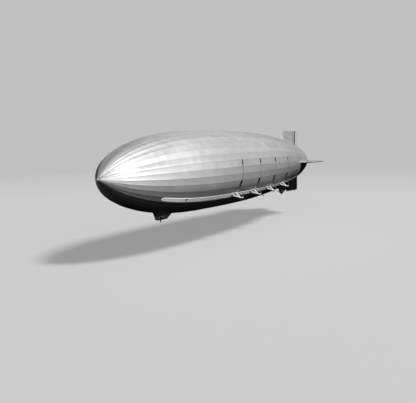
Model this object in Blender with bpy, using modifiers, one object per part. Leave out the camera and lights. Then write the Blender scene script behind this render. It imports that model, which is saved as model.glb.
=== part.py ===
"""Rigid airship with swivelling propellers, as a 1:10 scale model.

Metres, +X towards the nose, +Y to port, +Z up. The origin is the centre of buoyancy on the
hull's axis. A station is a distance aft of the nose tip.
"""
import math

import bmesh
import bpy
from mathutils import Matrix, Vector

# Hull form: a full bow to the widest station, then a long tapering stern
LENGTH = 23.93
MAX_RADIUS = 2.025
WIDEST_STATION = 9.997
BOW_POWER, BOW_ROOT = 3.316, 0.644
# The bow is drawn in towards its tip: share at the tip, and the station where that ends
TIP_FINING, TIP_FINING_END = 0.35, 1.10
STERN_POWER, STERN_ROOT = 2.376, 0.712
NOSE_X = 10.98
SIDES = 36
FACET_DEG = 360 / SIDES
WALL = 0.010

# Clearances
SEAT = 0.0003
HINGE_GAP = 0.0005
CLEAR = 0.005

# Hull sections: name and the stations of the rings, front to back. The belly doors hinge on a
# straight line, so the section that holds them has no ring between its ends.
HULL_SECTIONS = (
    ("hull_bow", (0.10, 0.22, 0.42, 0.75, 1.20, 1.68, 2.20, 2.80)),
    ("hull_forward", (2.80, 3.65, 4.55, 5.65, 6.80)),
    ("hull_hangar", (6.80, 9.05)),
    ("hull_middle", (9.05, 10.20, 11.30, 12.40, 13.55)),
    ("hull_aft", (13.55, 14.70, 15.80, 16.90, 18.05)),
    ("hull_stern", (18.05, 18.90, 19.80, 20.70, 21.55)),
    ("hull_tail", (21.55, 22.20, 22.75, 23.20, 23.55)),
)
RINGS = sorted({station for _, stations in HULL_SECTIONS for station in stations})
MOORING_FACE = -0.04
MOORING_RADIUS = 0.032

# Engines: four a side, on the facet 40 degrees below the horizontal
ENGINE_STATIONS = (9.05, 11.30, 13.55, 15.80)
ENGINE_FACET = -40.0
SIDE_SIGNS = (("port", 1), ("starboard", -1))

# Light band along that facet, and the condenser panels above each engine
BAND_THICK = 0.003
BAND_TOP = 2 * SEAT + BAND_THICK
# Band rows: station, half width in degrees
BAND_NOSE = ((2.73, 0.7), (2.75, 1.8), (2.80, 3.0), (2.88, 3.85), (2.97, 4.1))
BAND_END = 19.80
# Condenser rows from the top down: angle, half length along the hull, height above it
CONDENSER_ROWS = (
    (14.5, 0.060, 0.012), (7.2, 0.060, 0.012), (7.0, 0.045, 0.006), (5.0, 0.045, 0.006),
    (-5.0, 0.045, 0.006), (-15.0, 0.045, 0.006), (-15.6, 0.045, 0.006), (-15.8, 0.100, 0.014),
    (-24.8, 0.100, 0.014), (-25.0, 0.045, 0.006), (-27.2, 0.045, 0.006), (-27.4, 0.070, 0.014),
    (-29.6, 0.070, 0.014), (-29.8, 0.045, 0.006), (-35.0, 0.045, 0.006), (-36.2, 0.045, 0.006),
)

# Outrigger: its head from the facet's middle, and the feet of its legs
HEAD_AFT, HEAD_OUT, HEAD_DOWN = 0.06, 0.36, 0.16
# Legs: foot's distance aft of the engine, foot's angle, chord, thickness
LEGS = ((-0.40, -38.5, 0.055, 0.030), (0.00, -37.2, 0.080, 0.050), (-0.04, -43.0, 0.055, 0.030))
LEG_SIDES = 8
FOOT_PLATE = (-0.47, 0.09, 3.7, 0.008)
BOSS_RADIUS, BOSS_LENGTH = 0.030, 0.070
GEAR_RADIUS, GEAR_WIDTH = 0.036, 0.080
SHAFT_LENGTH = 0.125
HUB_RADIUS, HUB_LENGTH, SPINNER_LENGTH = 0.022, 0.050, 0.040
PROPELLER_RADIUS = 0.249
# Blade rows: distance from the axis, chord, thickness, pitch in degrees
BLADE_ROWS = ((0.012, 0.026, 0.016, 58), (0.060, 0.040, 0.011, 44), (0.150, 0.046, 0.007, 26),
              (0.230, 0.034, 0.004, 18), (PROPELLER_RADIUS, 0.014, 0.002, 16))

# Engine blocks on a beam inside the hull
BEAM_HALF_DEG, BEAM_HEIGHT = 2.0, 0.050
BEAM_STATIONS = (8.70, 9.05, 10.20, 11.30, 12.40, 13.55, 14.70, 15.80, 16.15)
BLOCK_HALF_LENGTH, BLOCK_HALF_DEG, BLOCK_HEIGHT = 0.110, 1.5, 0.170

# Fins: distance from the hull's axis, leading edge station, half thickness
FIN_ROWS = ((0.90, 18.30, 0.130), (1.56, 18.50, 0.085), (1.61, 19.18, 0.080), (1.72, 19.34, 0.072),
            (2.08, 19.37, 0.046), (2.13, 19.46, 0.042))
LOWER_FIN_ROWS = ((0.90, 20.12, 0.120), (1.84, 20.12, 0.065), (2.00, 20.24, 0.050), (2.07, 20.34, 0.042))
FIN_END = 21.50
FIN_END_HALF = 0.040
# Fin section: share of the chord, share of the half thickness
FIN_SECTION = ((0.0, 0.0), (0.03, 0.42), (0.12, 0.78), (0.35, 1.0))
LOWER_FIN_SECTION = ((0.0, 1.0), (0.35, 1.0))
# Rudder and elevator rows: distance from the hull's axis, trailing edge station
FLAP_ROWS = ((1.06, 22.08), (1.14, 22.25), (2.05, 22.25), (2.13, 22.17))
LOWER_FLAP_ROWS = ((1.06, 22.08), (1.14, 22.25), (2.01, 22.25), (2.09, 22.17))
FLAP_NOSE = 0.036
FLAP_HINGE = FIN_END + HINGE_GAP + FLAP_NOSE
FLAP_EDGE_HALF = 0.005

# Tail station ahead of the lower fin: depth, front station, aft station, half width
TAIL_STATION_ROWS = ((1.24, 18.55, 20.115, 0.100), (1.66, 18.62, 20.115, 0.095), (1.84, 18.80, 20.08, 0.090),
                     (2.06, 18.98, 19.58, 0.075), (2.12, 19.06, 19.44, 0.055))
TAIL_STATION_BOTTOM = -2.12

# Control car: height, front station, aft station, half width
CAR_ROWS = ((-2.13, 4.12, 4.78, 0.095), (-2.08, 4.03, 4.98, 0.125), (-1.95, 3.98, 5.26, 0.125),
            (-1.60, 3.72, 5.50, 0.125))
CAR_FRONT_CURVE, CAR_REAR_CURVE = 0.14, 0.34
CAR_WALL = 0.008
CAR_BOTTOM = -2.13
WINDOW_BOTTOM, WINDOW_TOP = -2.035, -1.945
# Side windows: front station, aft station
SIDE_WINDOWS = ((4.14, 4.235), (4.255, 4.350), (4.530, 4.625), (4.645, 4.740))
FRONT_WINDOWS_DEG = (-62, -21, 21, 62)
FRONT_WINDOW_WIDTH = 0.072
GLASS = 0.003
DOOR_FRONT, DOOR_REAR, DOOR_BOTTOM, DOOR_TOP = 4.400, 4.475, -2.065, -1.875

# Hangar bay and its two belly doors
BAY_FRONT, BAY_REAR, BAY_HALF, BAY_TOP, BAY_WALL = 6.90, 8.95, 0.56, -1.45, 0.008
HATCH_FRONT, HATCH_REAR, HATCH_HINGE_Y = 6.96, 8.89, 0.500

# Castors: axle aft of the swivel, axle below the mounting face
CASTOR_TRAIL, CASTOR_DROP = 0.020, 0.068
WHEEL_RADIUS, WHEEL_HALF, WHEEL_HUB_HALF = 0.048, 0.018, 0.022
CASTORS = (("taxi", 4.39, CAR_BOTTOM), ("tail", 19.25, TAIL_STATION_BOTTOM))

# Colours of the sub-parts: red, green, blue, roughness, metallic
COLOURS = {
    "silver cover": (0.62, 0.63, 0.64, 0.45, 0.55),
    "light cover": (0.74, 0.74, 0.73, 0.45, 0.40),
    "dark panel": (0.10, 0.10, 0.11, 0.55, 0.30),
    "bright metal": (0.70, 0.71, 0.72, 0.30, 0.90),
    "grey metal": (0.32, 0.33, 0.35, 0.40, 0.80),
    "dark blue": (0.04, 0.05, 0.16, 0.50, 0.00),
    "window glass": (0.30, 0.36, 0.40, 0.10, 0.00),
    "black rubber": (0.03, 0.03, 0.03, 0.80, 0.00),
}


def material(name):
    """Returns the material of that colour name, made on its first use."""
    found = bpy.data.materials.get(name)
    if found:
        return found
    red, green, blue, roughness, metallic = COLOURS[name]
    made = bpy.data.materials.new(name)
    made.use_nodes = True
    shader = made.node_tree.nodes["Principled BSDF"]
    shader.inputs["Base Color"].default_value = (red, green, blue, 1)
    shader.inputs["Roughness"].default_value = roughness
    shader.inputs["Metallic"].default_value = metallic
    made.diffuse_color = (red, green, blue, 1)
    return made


def start_scene():
    """Clears the scene and makes the collections for the parts and the cutters."""
    for obj in list(bpy.data.objects):
        bpy.data.objects.remove(obj, do_unlink=True)
    for name in ("airship", "cutters"):
        bpy.context.scene.collection.children.link(bpy.data.collections.new(name))


def add_object(name, mesh, colour, location=(0, 0, 0)):
    """Adds a named part to the airship's collection."""
    obj = bpy.data.objects.new(name, mesh)
    obj.location = location
    bpy.data.collections["airship"].objects.link(obj)
    if colour:
        mesh.materials.clear()
        mesh.materials.append(material(colour))
    return obj


def add_cutter(name, mesh):
    """Adds a hidden guide solid for a Boolean."""
    obj = bpy.data.objects.new(name, mesh)
    obj.hide_render = True
    obj.display_type = "WIRE"
    bpy.data.collections["cutters"].objects.link(obj)
    return obj


def boolean(obj, operation, tool):
    """Adds an exact Boolean modifier."""
    modifier = obj.modifiers.new(operation.lower(), "BOOLEAN")
    modifier.operation = operation
    modifier.solver = "EXACT"
    modifier.object = tool
    return modifier


def baked(obj):
    """Replaces an object's modifiers by the mesh that they make."""
    view = bpy.context.evaluated_depsgraph_get()
    mesh = bpy.data.meshes.new_from_object(obj.evaluated_get(view))
    obj.modifiers.clear()
    obj.data = mesh
    return obj


def joined(name, meshes, colour, location=(0, 0, 0)):
    """Makes one solid from overlapping ones, all in the same local frame."""
    obj = add_object(name, meshes[0], None, location)
    tools = [add_cutter(name + "_join", mesh) for mesh in meshes[1:]]
    for tool in tools:
        tool.location = location
        boolean(obj, "UNION", tool)
    baked(obj)
    for tool in tools:
        bpy.data.objects.remove(tool, do_unlink=True)
    obj.data.materials.clear()
    obj.data.materials.append(material(colour))
    return obj


def loft(rows, closed=False):
    """Makes a closed mesh through rows of points: capped at the ends, or closed on itself."""
    shape = bmesh.new()
    rings = [[shape.verts.new(point) for point in row] for row in rows]
    pairs = list(zip(rings, rings[1:] + rings[:1])) if closed else list(zip(rings, rings[1:]))
    for ring, following in pairs:
        for index, corner in enumerate(ring):
            after = (index + 1) % len(ring)
            shape.faces.new((corner, ring[after], following[after], following[index]))
    if not closed:
        shape.faces.new(rings[0])
        shape.faces.new(rings[-1])
    bmesh.ops.recalc_face_normals(shape, faces=shape.faces)
    mesh = bpy.data.meshes.new("loft")
    shape.to_mesh(mesh)
    shape.free()
    return mesh


def box(low, high):
    """Makes a box between two corners."""
    shape = bmesh.new()
    bmesh.ops.create_cube(shape, size=1)
    size = Vector(high) - Vector(low)
    middle = (Vector(high) + Vector(low)) / 2
    shape.transform(Matrix.Translation(middle) @ Matrix.Diagonal((*size, 1)))
    mesh = bpy.data.meshes.new("box")
    shape.to_mesh(mesh)
    shape.free()
    return mesh


def rod(start, end, radius, end_radius=None, sides=12):
    """Makes a cylinder or cone between two points."""
    start, end = Vector(start), Vector(end)
    along = end - start
    shape = bmesh.new()
    bmesh.ops.create_cone(shape, cap_ends=True, segments=sides, radius1=radius,
                          radius2=radius if end_radius is None else end_radius, depth=along.length)
    turn = along.to_track_quat("Z", "Y").to_matrix().to_4x4()
    shape.transform(Matrix.Translation((start + end) / 2) @ turn)
    mesh = bpy.data.meshes.new("rod")
    shape.to_mesh(mesh)
    shape.free()
    return mesh


def hull_radius(station):
    """Gives the hull's corner radius at a station."""
    if station < WIDEST_STATION:
        ahead = 1 - station / WIDEST_STATION
        fining = TIP_FINING * max(0.0, 1 - station / TIP_FINING_END) ** 2
        return MAX_RADIUS * (1 - ahead ** BOW_POWER) ** BOW_ROOT * (1 - fining)
    behind = (station - WIDEST_STATION) / (LENGTH - WIDEST_STATION)
    return MAX_RADIUS * max(0.0, 1 - behind ** STERN_POWER) ** STERN_ROOT


def skin_radius(station):
    """Gives the corner radius of the faceted skin, which is straight between its rings."""
    for front, rear in zip(RINGS, RINGS[1:]):
        if front <= station <= rear:
            share = (station - front) / (rear - front)
            return hull_radius(front) * (1 - share) + hull_radius(rear) * share
    return hull_radius(station)


def on_skin(station, angle, height, side=1):
    """Gives a point above a facet of the skin; the angle is measured up from the horizontal."""
    middle = FACET_DEG * round(angle / FACET_DEG)
    flat = (skin_radius(station) + height) * math.cos(math.radians(FACET_DEG / 2))
    radius = flat / math.cos(math.radians(angle - middle))
    turn = math.radians(angle)
    return Vector((NOSE_X - station, side * radius * math.cos(turn), radius * math.sin(turn)))


def turned(name, profile, sides=SIDES, closed=False):
    """Makes an object turned about the hull's axis from rows of station and radius."""
    mesh = bpy.data.meshes.new(name)
    points = [(radius, 0, -station) for station, radius in profile]
    edges = [(index, index + 1) for index in range(len(points) - 1)]
    if closed:
        edges.append((len(points) - 1, 0))
    mesh.from_pydata(points, edges, [])
    obj = bpy.data.objects.new(name, mesh)
    half_facet = Matrix.Rotation(math.radians(180 / sides), 4, "Z")
    obj.matrix_world = Matrix.Translation((NOSE_X, 0, 0)) @ Matrix.Rotation(math.pi / 2, 4, "Y") @ half_facet
    screw = obj.modifiers.new("turn", "SCREW")
    screw.axis = "Z"
    screw.angle = 2 * math.pi
    screw.steps = sides
    screw.render_steps = sides
    screw.use_merge_vertices = True
    screw.merge_threshold = 0.00005
    screw.use_smooth_shade = False
    return obj


def hull_solid(name, height):
    """Makes a guide solid that is the hull's skin moved out by a height."""
    profile = [(RINGS[0], 0)]
    profile += [(station, hull_radius(station) + height) for station in RINGS]
    profile.append((RINGS[-1], 0))
    obj = turned(name, profile)
    obj.hide_render = True
    obj.display_type = "WIRE"
    bpy.data.collections["cutters"].objects.link(obj)
    return obj


def shell_profile(stations):
    """Gives the closed outline of a hull section's wall, a seat short of its neighbours."""
    ends = {stations[0]: SEAT / 2, stations[-1]: -SEAT / 2}
    outer = [(station + ends.get(station, 0), hull_radius(station)) for station in stations]
    return outer + [(station, radius - WALL) for station, radius in reversed(outer)]


def build_hull():
    """Builds the hull's sections, its mooring nose and its tail cone."""
    for name, stations in HULL_SECTIONS:
        obj = turned(name, shell_profile(stations), closed=True)
        bpy.data.collections["airship"].objects.link(obj)
        obj.data.materials.append(material("silver cover"))
    front = RINGS[0] - SEAT / 2
    nose = [(MOORING_FACE, 0), (MOORING_FACE, MOORING_RADIUS), (0.005, MOORING_RADIUS)]
    nose += [(station, hull_radius(station)) for station in (0.015, 0.05)]
    nose += [(front, hull_radius(RINGS[0])), (front, 0)]
    rear = RINGS[-1] + SEAT / 2
    tail = [(rear, 0), (rear, hull_radius(RINGS[-1]))]
    tail += [(station, hull_radius(station)) for station in (23.72, 23.85)] + [(LENGTH, 0)]
    for name, profile, colour in (("nose_cap", nose, "bright metal"), ("tail_cone", tail, "silver cover")):
        obj = turned(name, profile)
        bpy.data.collections["airship"].objects.link(obj)
        obj.data.materials.append(material(colour))


def build_side_fittings(side_name, side):
    """Builds a side's light band with the four condensers that rise from it."""
    full_from, full_half = BAND_NOSE[-1]
    half_rows = list(BAND_NOSE) + [(station, full_half) for station in RINGS if full_from < station <= BAND_END]
    rows = []
    for station, half in half_rows:
        corners = ((-half, SEAT), (half, SEAT), (half, SEAT + BAND_THICK), (-half, SEAT + BAND_THICK))
        rows.append([on_skin(station, ENGINE_FACET + off * 0.999, height, side) for off, height in corners])
    solids = [loft(rows)]
    for engine in ENGINE_STATIONS:
        rows = []
        for angle, half, height in CONDENSER_ROWS:
            low = [on_skin(engine + off, angle, SEAT, side) for off in (-half, 0, half)]
            high = [on_skin(engine + off, angle, height, side) for off in (half, 0, -half)]
            rows.append(low + high)
        solids.append(loft(rows))
    joined(side_name + "_band_and_condensers", solids, "light cover")


def skin_block(stations, half_deg, low, high, side):
    """Makes a block on the engines' facet from rows along the hull."""
    corners = ((-half_deg, low), (half_deg, low), (half_deg, high), (-half_deg, high))
    return loft([[on_skin(station, ENGINE_FACET + off, height, side) for off, height in corners]
                 for station in stations])


def build_engine_beam(side_name, side):
    """Builds the beam inside a side of the hull with its four engine blocks."""
    seat = -(WALL + SEAT)
    solids = [skin_block(BEAM_STATIONS, BEAM_HALF_DEG, seat - BEAM_HEIGHT, seat, side)]
    for engine in ENGINE_STATIONS:
        stations = (engine - BLOCK_HALF_LENGTH, engine + BLOCK_HALF_LENGTH)
        low, high = seat - BLOCK_HEIGHT, seat - BEAM_HEIGHT / 2
        solids.append(skin_block(stations, BLOCK_HALF_DEG, low, high, side))
    joined(side_name + "_engine_beam", solids, "grey metal")


def strut(start, end, chord, thickness):
    """Makes a faired leg with an oval section whose long axis lies along the hull."""
    along = (end - start).normalized()
    chord_way = (Vector((1, 0, 0)) - along * along.x).normalized()
    thick_way = along.cross(chord_way)
    rows = []
    for middle in (start, end):
        row = []
        for index in range(LEG_SIDES):
            turn = 2 * math.pi * index / LEG_SIDES
            row.append(middle + chord_way * (chord / 2 * math.cos(turn)) + thick_way * (thickness / 2 * math.sin(turn)))
        rows.append(row)
    return loft(rows)


def head_point(engine, side):
    """Gives the point where an outrigger's propeller head swivels."""
    foot = on_skin(engine, ENGINE_FACET, 0, side)
    return foot + Vector((-HEAD_AFT, side * HEAD_OUT, -HEAD_DOWN))


def build_outrigger(name, engine, side, guide):
    """Builds an outrigger: its foot plate, three faired legs and the boss for the head."""
    head = head_point(engine, side)
    boss_end = head - Vector((0, side * GEAR_WIDTH / 2, 0))
    boss_start = boss_end - Vector((0, side * BOSS_LENGTH, 0))
    front, rear, half, thick = FOOT_PLATE
    solids = [skin_block((engine + front, engine, engine + rear), half, BAND_TOP, BAND_TOP + thick, side)]
    solids.append(rod(boss_start, boss_end, BOSS_RADIUS))
    for aft, angle, chord, thickness in LEGS:
        foot = on_skin(engine + aft, angle, -0.05, side)
        solids.append(strut(foot, (boss_start + boss_end) / 2, chord, thickness))
    obj = joined(name, solids, "bright metal")
    boolean(obj, "DIFFERENCE", guide)


def build_gear_head(name, engine, side):
    """Builds the swivelling head that carries a propeller on a shaft pointing aft."""
    head = head_point(engine, side)
    inner = -side * (GEAR_WIDTH / 2 - HINGE_GAP)
    drum = rod((0, inner, 0), (0, side * GEAR_WIDTH / 2, 0), GEAR_RADIUS, sides=16)
    shaft = rod((0.01, 0, 0), (-SHAFT_LENGTH, 0, 0), GEAR_RADIUS * 0.85, HUB_RADIUS * 0.8)
    joined(name, [drum, shaft], "grey metal", head)


def propeller_mesh():
    """Makes a three-blade propeller about the X axis with its hub."""
    blades = []
    for number in range(3):
        turn = Matrix.Rotation(math.radians(120 * number), 4, "X")
        rows = []
        for distance, chord, thickness, pitch in BLADE_ROWS:
            twist = Matrix.Rotation(math.radians(pitch), 4, "Z")
            lens = ((-0.5, 0), (-0.2, 0.5), (0.3, 0.4), (0.5, 0), (0.3, -0.2), (-0.2, -0.3))
            row = [twist @ Vector((thickness * thick, chord * wide, 0)) for wide, thick in lens]
            rows.append([turn @ (point + Vector((0, 0, distance))) for point in row])
        blades.append(loft(rows))
    hub = rod((HUB_LENGTH / 2, 0, 0), (-HUB_LENGTH / 2, 0, 0), HUB_RADIUS)
    spinner = rod((-HUB_LENGTH / 2 + 0.004, 0, 0), (-HUB_LENGTH / 2 - SPINNER_LENGTH, 0, 0), HUB_RADIUS * 0.97, 0.004)
    obj = joined("propeller_pattern", [hub, spinner] + blades, "bright metal")
    mesh = obj.data
    bpy.data.objects.remove(obj, do_unlink=True)
    return mesh


def build_engines():
    """Builds the outriggers, swivelling heads and propellers of both sides."""
    guide = hull_solid("guide_above_band", BAND_TOP)
    blades = propeller_mesh()
    for side_name, side in SIDE_SIGNS:
        for number, engine in enumerate(ENGINE_STATIONS, start=1):
            tag = "_%s_%d" % (side_name, number)
            build_outrigger("outrigger" + tag, engine, side, guide)
            build_gear_head("gear_head" + tag, engine, side)
            hub = head_point(engine, side) - Vector((SHAFT_LENGTH + HINGE_GAP + HUB_LENGTH / 2, 0, 0))
            add_object("propeller" + tag, blades, None, hub)


def fin_row(distance, front, half, section):
    """Gives a fin's outline at a distance from the hull's axis, in a frame with the fin upright."""
    chord = FIN_END - front
    side = [(front + chord * along, half * thick) for along, thick in section]
    side.append((FIN_END, min(half, FIN_END_HALF)))
    other = [(station, -thick) for station, thick in reversed(side) if thick]
    return [Vector((NOSE_X - station, -thick, distance)) for station, thick in side + other]


def flap_row(distance, rear):
    """Gives a rudder's outline at a distance from the hull's axis, with its round nose on the hinge."""
    outline = []
    for degrees in range(-90, 91, 30):
        turn = math.radians(degrees)
        outline.append((FLAP_HINGE - FLAP_NOSE * math.cos(turn), FLAP_NOSE * math.sin(turn)))
    outline += [(rear, FLAP_EDGE_HALF), (rear, -FLAP_EDGE_HALF)]
    return [Vector((-(station - FLAP_HINGE), -thick, distance)) for station, thick in outline]


def build_tail(guide):
    """Builds the four fins, the rudders and elevators, and the tail station."""
    # Fins: name, turn about the hull's axis, rows, section, name of its flap, flap's rows, flap's colour
    fins = (("fin_upper", 0, FIN_ROWS, FIN_SECTION, "rudder_upper", FLAP_ROWS, "dark blue"),
            ("fin_port", -90, FIN_ROWS, FIN_SECTION, "elevator_port", FLAP_ROWS, "silver cover"),
            ("fin_lower", 180, LOWER_FIN_ROWS, LOWER_FIN_SECTION, "rudder_lower", LOWER_FLAP_ROWS, "dark blue"),
            ("fin_starboard", 90, FIN_ROWS, FIN_SECTION, "elevator_starboard", FLAP_ROWS, "silver cover"))
    for name, degrees, rows, section, flap_name, flap_rows, flap_colour in fins:
        turn = Matrix.Rotation(math.radians(degrees), 4, "X")
        outline = [[turn @ point for point in fin_row(*row, section)] for row in rows]
        fin = add_object(name, loft(outline), "silver cover")
        boolean(fin, "DIFFERENCE", guide)
        outline = [[turn @ point for point in flap_row(*row)] for row in flap_rows]
        add_object(flap_name, loft(outline), flap_colour, (NOSE_X - FLAP_HINGE, 0, 0))
    rows = []
    for depth, front, rear, half in TAIL_STATION_ROWS:
        chord = rear - front
        shares = ((0.0, 0.25), (0.08, 0.70), (0.30, 1.0), (0.80, 0.95), (1.0, 0.62))
        side = [(front + chord * along, half * wide) for along, wide in shares]
        outline = side + [(station, -wide) for station, wide in reversed(side)]
        rows.append([Vector((NOSE_X - station, wide, -depth)) for station, wide in outline])
    station = add_object("tail_station", loft(rows), "silver cover")
    boolean(station, "DIFFERENCE", guide)


def car_outline(height, inset):
    """Gives the control car's plan outline at a height, moved in by an inset."""
    rows = CAR_ROWS
    low, high = next((pair for pair in zip(rows, rows[1:]) if height <= pair[1][0]), (rows[-2], rows[-1]))
    share = (height - low[0]) / (high[0] - low[0])
    front, rear, half = (low[index] * (1 - share) + high[index] * share for index in (1, 2, 3))
    outline = []
    for degrees in range(-90, 91, 30):
        turn = math.radians(degrees)
        station = front + CAR_FRONT_CURVE - (CAR_FRONT_CURVE - inset) * math.cos(turn)
        outline.append((station, (half - inset) * math.sin(turn)))
    for degrees in range(90, -91, -30):
        turn = math.radians(degrees)
        station = rear - CAR_REAR_CURVE + (CAR_REAR_CURVE - inset) * math.cos(turn)
        outline.append((station, (half - inset) * math.sin(turn)))
    return [Vector((NOSE_X - station, wide, height)) for station, wide in outline]


def build_car(guide):
    """Builds the hollow control car, its glazing and its door."""
    heights = [row[0] for row in CAR_ROWS]
    car = add_object("control_car", loft([car_outline(height, 0) for height in heights]), "silver cover")
    inner_heights = [CAR_BOTTOM + CAR_WALL] + heights[1:-1] + [heights[-1] + 0.1]
    hollow = add_cutter("car_hollow", loft([car_outline(height, CAR_WALL) for height in inner_heights]))
    boolean(car, "DIFFERENCE", hollow)
    boolean(car, "DIFFERENCE", guide)
    reach = 2 * CAR_ROWS[1][3]
    windows = []
    for front, rear in SIDE_WINDOWS:
        low = (NOSE_X - rear, -reach, WINDOW_BOTTOM)
        windows.append(box(low, (NOSE_X - front, reach, WINDOW_TOP)))
    for degrees in FRONT_WINDOWS_DEG:
        mesh = box((0.02, -FRONT_WINDOW_WIDTH / 2, WINDOW_BOTTOM), (reach, FRONT_WINDOW_WIDTH / 2, WINDOW_TOP))
        middle = CAR_ROWS[2][1] + CAR_FRONT_CURVE
        mesh.transform(Matrix.Translation((NOSE_X - middle, 0, 0)) @ Matrix.Rotation(math.radians(degrees), 4, "Z"))
        windows.append(mesh)
    for number, mesh in enumerate(windows, start=1):
        boolean(car, "DIFFERENCE", add_cutter("window_%d" % number, mesh))
    half = CAR_ROWS[1][3]
    hinge = Vector((NOSE_X - DOOR_FRONT - CAR_WALL / 2, half - CAR_WALL / 2, 0))
    low = (NOSE_X - DOOR_REAR - CLEAR, half - 0.03, DOOR_BOTTOM - CLEAR)
    high = (hinge.x + CAR_WALL / 2 + HINGE_GAP, half + 0.03, DOOR_TOP + CLEAR)
    doorway = add_cutter("doorway", box(low, high))
    boolean(car, "DIFFERENCE", doorway)
    leaf = box((NOSE_X - DOOR_REAR - hinge.x, -CAR_WALL / 2, DOOR_BOTTOM), (0, CAR_WALL / 2, DOOR_TOP))
    edge = rod((0, 0, DOOR_BOTTOM), (0, 0, DOOR_TOP), CAR_WALL / 2)
    joined("car_door", [leaf, edge], "silver cover", hinge)
    rings = []
    for inset in (CAR_WALL + SEAT * 2, CAR_WALL + SEAT * 2 + GLASS):
        rings.append([car_outline(height, inset) for height in (WINDOW_BOTTOM - 0.012, CAR_ROWS[2][0], WINDOW_TOP + 0.012)])
    outer, inner = rings
    glazing = add_object("car_glazing", loft(outer + inner[::-1], closed=True), "window glass")
    boolean(glazing, "DIFFERENCE", doorway)


def build_hangar():
    """Builds the hangar bay and the two belly doors, and cuts their opening in the hull."""
    hull = bpy.data.objects["hull_hangar"]
    edge = HATCH_HINGE_Y + WALL / 2 + HINGE_GAP
    low = (NOSE_X - HATCH_REAR - CLEAR, -edge, -MAX_RADIUS - 0.1)
    hatch = add_cutter("hatch_opening", box(low, (NOSE_X - HATCH_FRONT + CLEAR, edge, BAY_TOP - 0.1)))
    boolean(hull, "DIFFERENCE", hatch)
    inside = hull_solid("guide_inside", -WALL - SEAT)
    low = Vector((NOSE_X - BAY_REAR, -BAY_HALF, -MAX_RADIUS))
    high = Vector((NOSE_X - BAY_FRONT, BAY_HALF, BAY_TOP))
    bay = add_object("hangar_bay", box(low, high), "grey metal")
    wall = Vector((BAY_WALL, BAY_WALL, BAY_WALL))
    bay_hollow = add_cutter("bay_hollow", box(low + wall - Vector((0, 0, 0.1)), high - wall))
    boolean(bay, "DIFFERENCE", bay_hollow)
    boolean(bay, "INTERSECT", inside)
    stations = next(row for name, row in HULL_SECTIONS if name == "hull_hangar")
    for side_name, side in SIDE_SIGNS:
        leaf = turned("belly_door_" + side_name, shell_profile(stations), closed=True)
        bpy.data.collections["airship"].objects.link(leaf)
        near, far = sorted((side * CLEAR / 2, side * HATCH_HINGE_Y))
        low = (NOSE_X - HATCH_REAR, near, -MAX_RADIUS - 0.1)
        trim = add_cutter("trim_" + side_name, box(low, (NOSE_X - HATCH_FRONT, far, BAY_TOP - 0.1)))
        boolean(leaf, "INTERSECT", trim)
        leaf.data.materials.append(material("silver cover"))
        ends = [hatch_hinge_point(station, side) for station in (HATCH_FRONT, HATCH_REAR)]
        pin = add_cutter("pin_" + side_name, rod(ends[0], ends[1], WALL / 2))
        boolean(leaf, "UNION", pin)
        baked(leaf)
        leaf.data.transform(Matrix.Translation(-ends[0]) @ leaf.matrix_world)
        leaf.matrix_world = Matrix.Translation(ends[0])
        for tool in (trim, pin):
            bpy.data.objects.remove(tool, do_unlink=True)


def hatch_hinge_point(station, side):
    """Gives a point on a belly door's hinge line, in the middle of the wall's thickness."""
    facet = math.radians(-80)
    flat = skin_radius(station) * math.cos(math.radians(FACET_DEG / 2)) - WALL / 2
    height = (flat - HATCH_HINGE_Y * math.cos(facet)) / math.sin(facet)
    return Vector((NOSE_X - station, side * HATCH_HINGE_Y, height))


def build_castor(name, station, face):
    """Builds a castor's swivelling fork and its wheel under a flat face."""
    swivel = Vector((NOSE_X - station, 0, face - SEAT))
    leg_inner = WHEEL_HUB_HALF + HINGE_GAP
    leg_outer = leg_inner + 0.007
    axle = Vector((-CASTOR_TRAIL, 0, -CASTOR_DROP))
    solids = [rod((0, 0, 0), (0, 0, -0.008), 0.026)]
    solids.append(box((-0.030, -leg_outer, -0.014), (0.014, leg_outer, -0.006)))
    for side in (-1, 1):
        near, far = sorted((side * leg_inner, side * leg_outer))
        solids.append(box((axle.x - 0.009, near, axle.z - 0.009), (axle.x + 0.009, far, -0.010)))
    joined(name + "_fork", solids, "grey metal", swivel)
    tyre = rod((0, -WHEEL_HALF, 0), (0, WHEEL_HALF, 0), WHEEL_RADIUS, sides=24)
    hub = rod((0, -WHEEL_HUB_HALF, 0), (0, WHEEL_HUB_HALF, 0), 0.010)
    joined(name + "_wheel", [tyre, hub], "black rubber", swivel + axle)


def build_airship():
    """Builds the whole model."""
    start_scene()
    build_hull()
    guide = hull_solid("guide_outside", SEAT * 1.3)
    for side_name, side in SIDE_SIGNS:
        build_side_fittings(side_name, side)
        build_engine_beam(side_name, side)
    build_engines()
    build_tail(guide)
    build_car(guide)
    build_hangar()
    for name, station, face in CASTORS:
        build_castor(name, station, face)


build_airship()
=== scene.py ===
"""Looks of the rigid airship: finishes, fine skin, fittings, floor, light and camera.

Metres, in the part's frame: +X towards the nose, +Y to port, +Z up. A station is a distance
aft of the nose tip, and an angle is measured up from the horizontal on either side.
"""
import math

import bmesh
import bpy
from mathutils import Matrix, Vector


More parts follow.
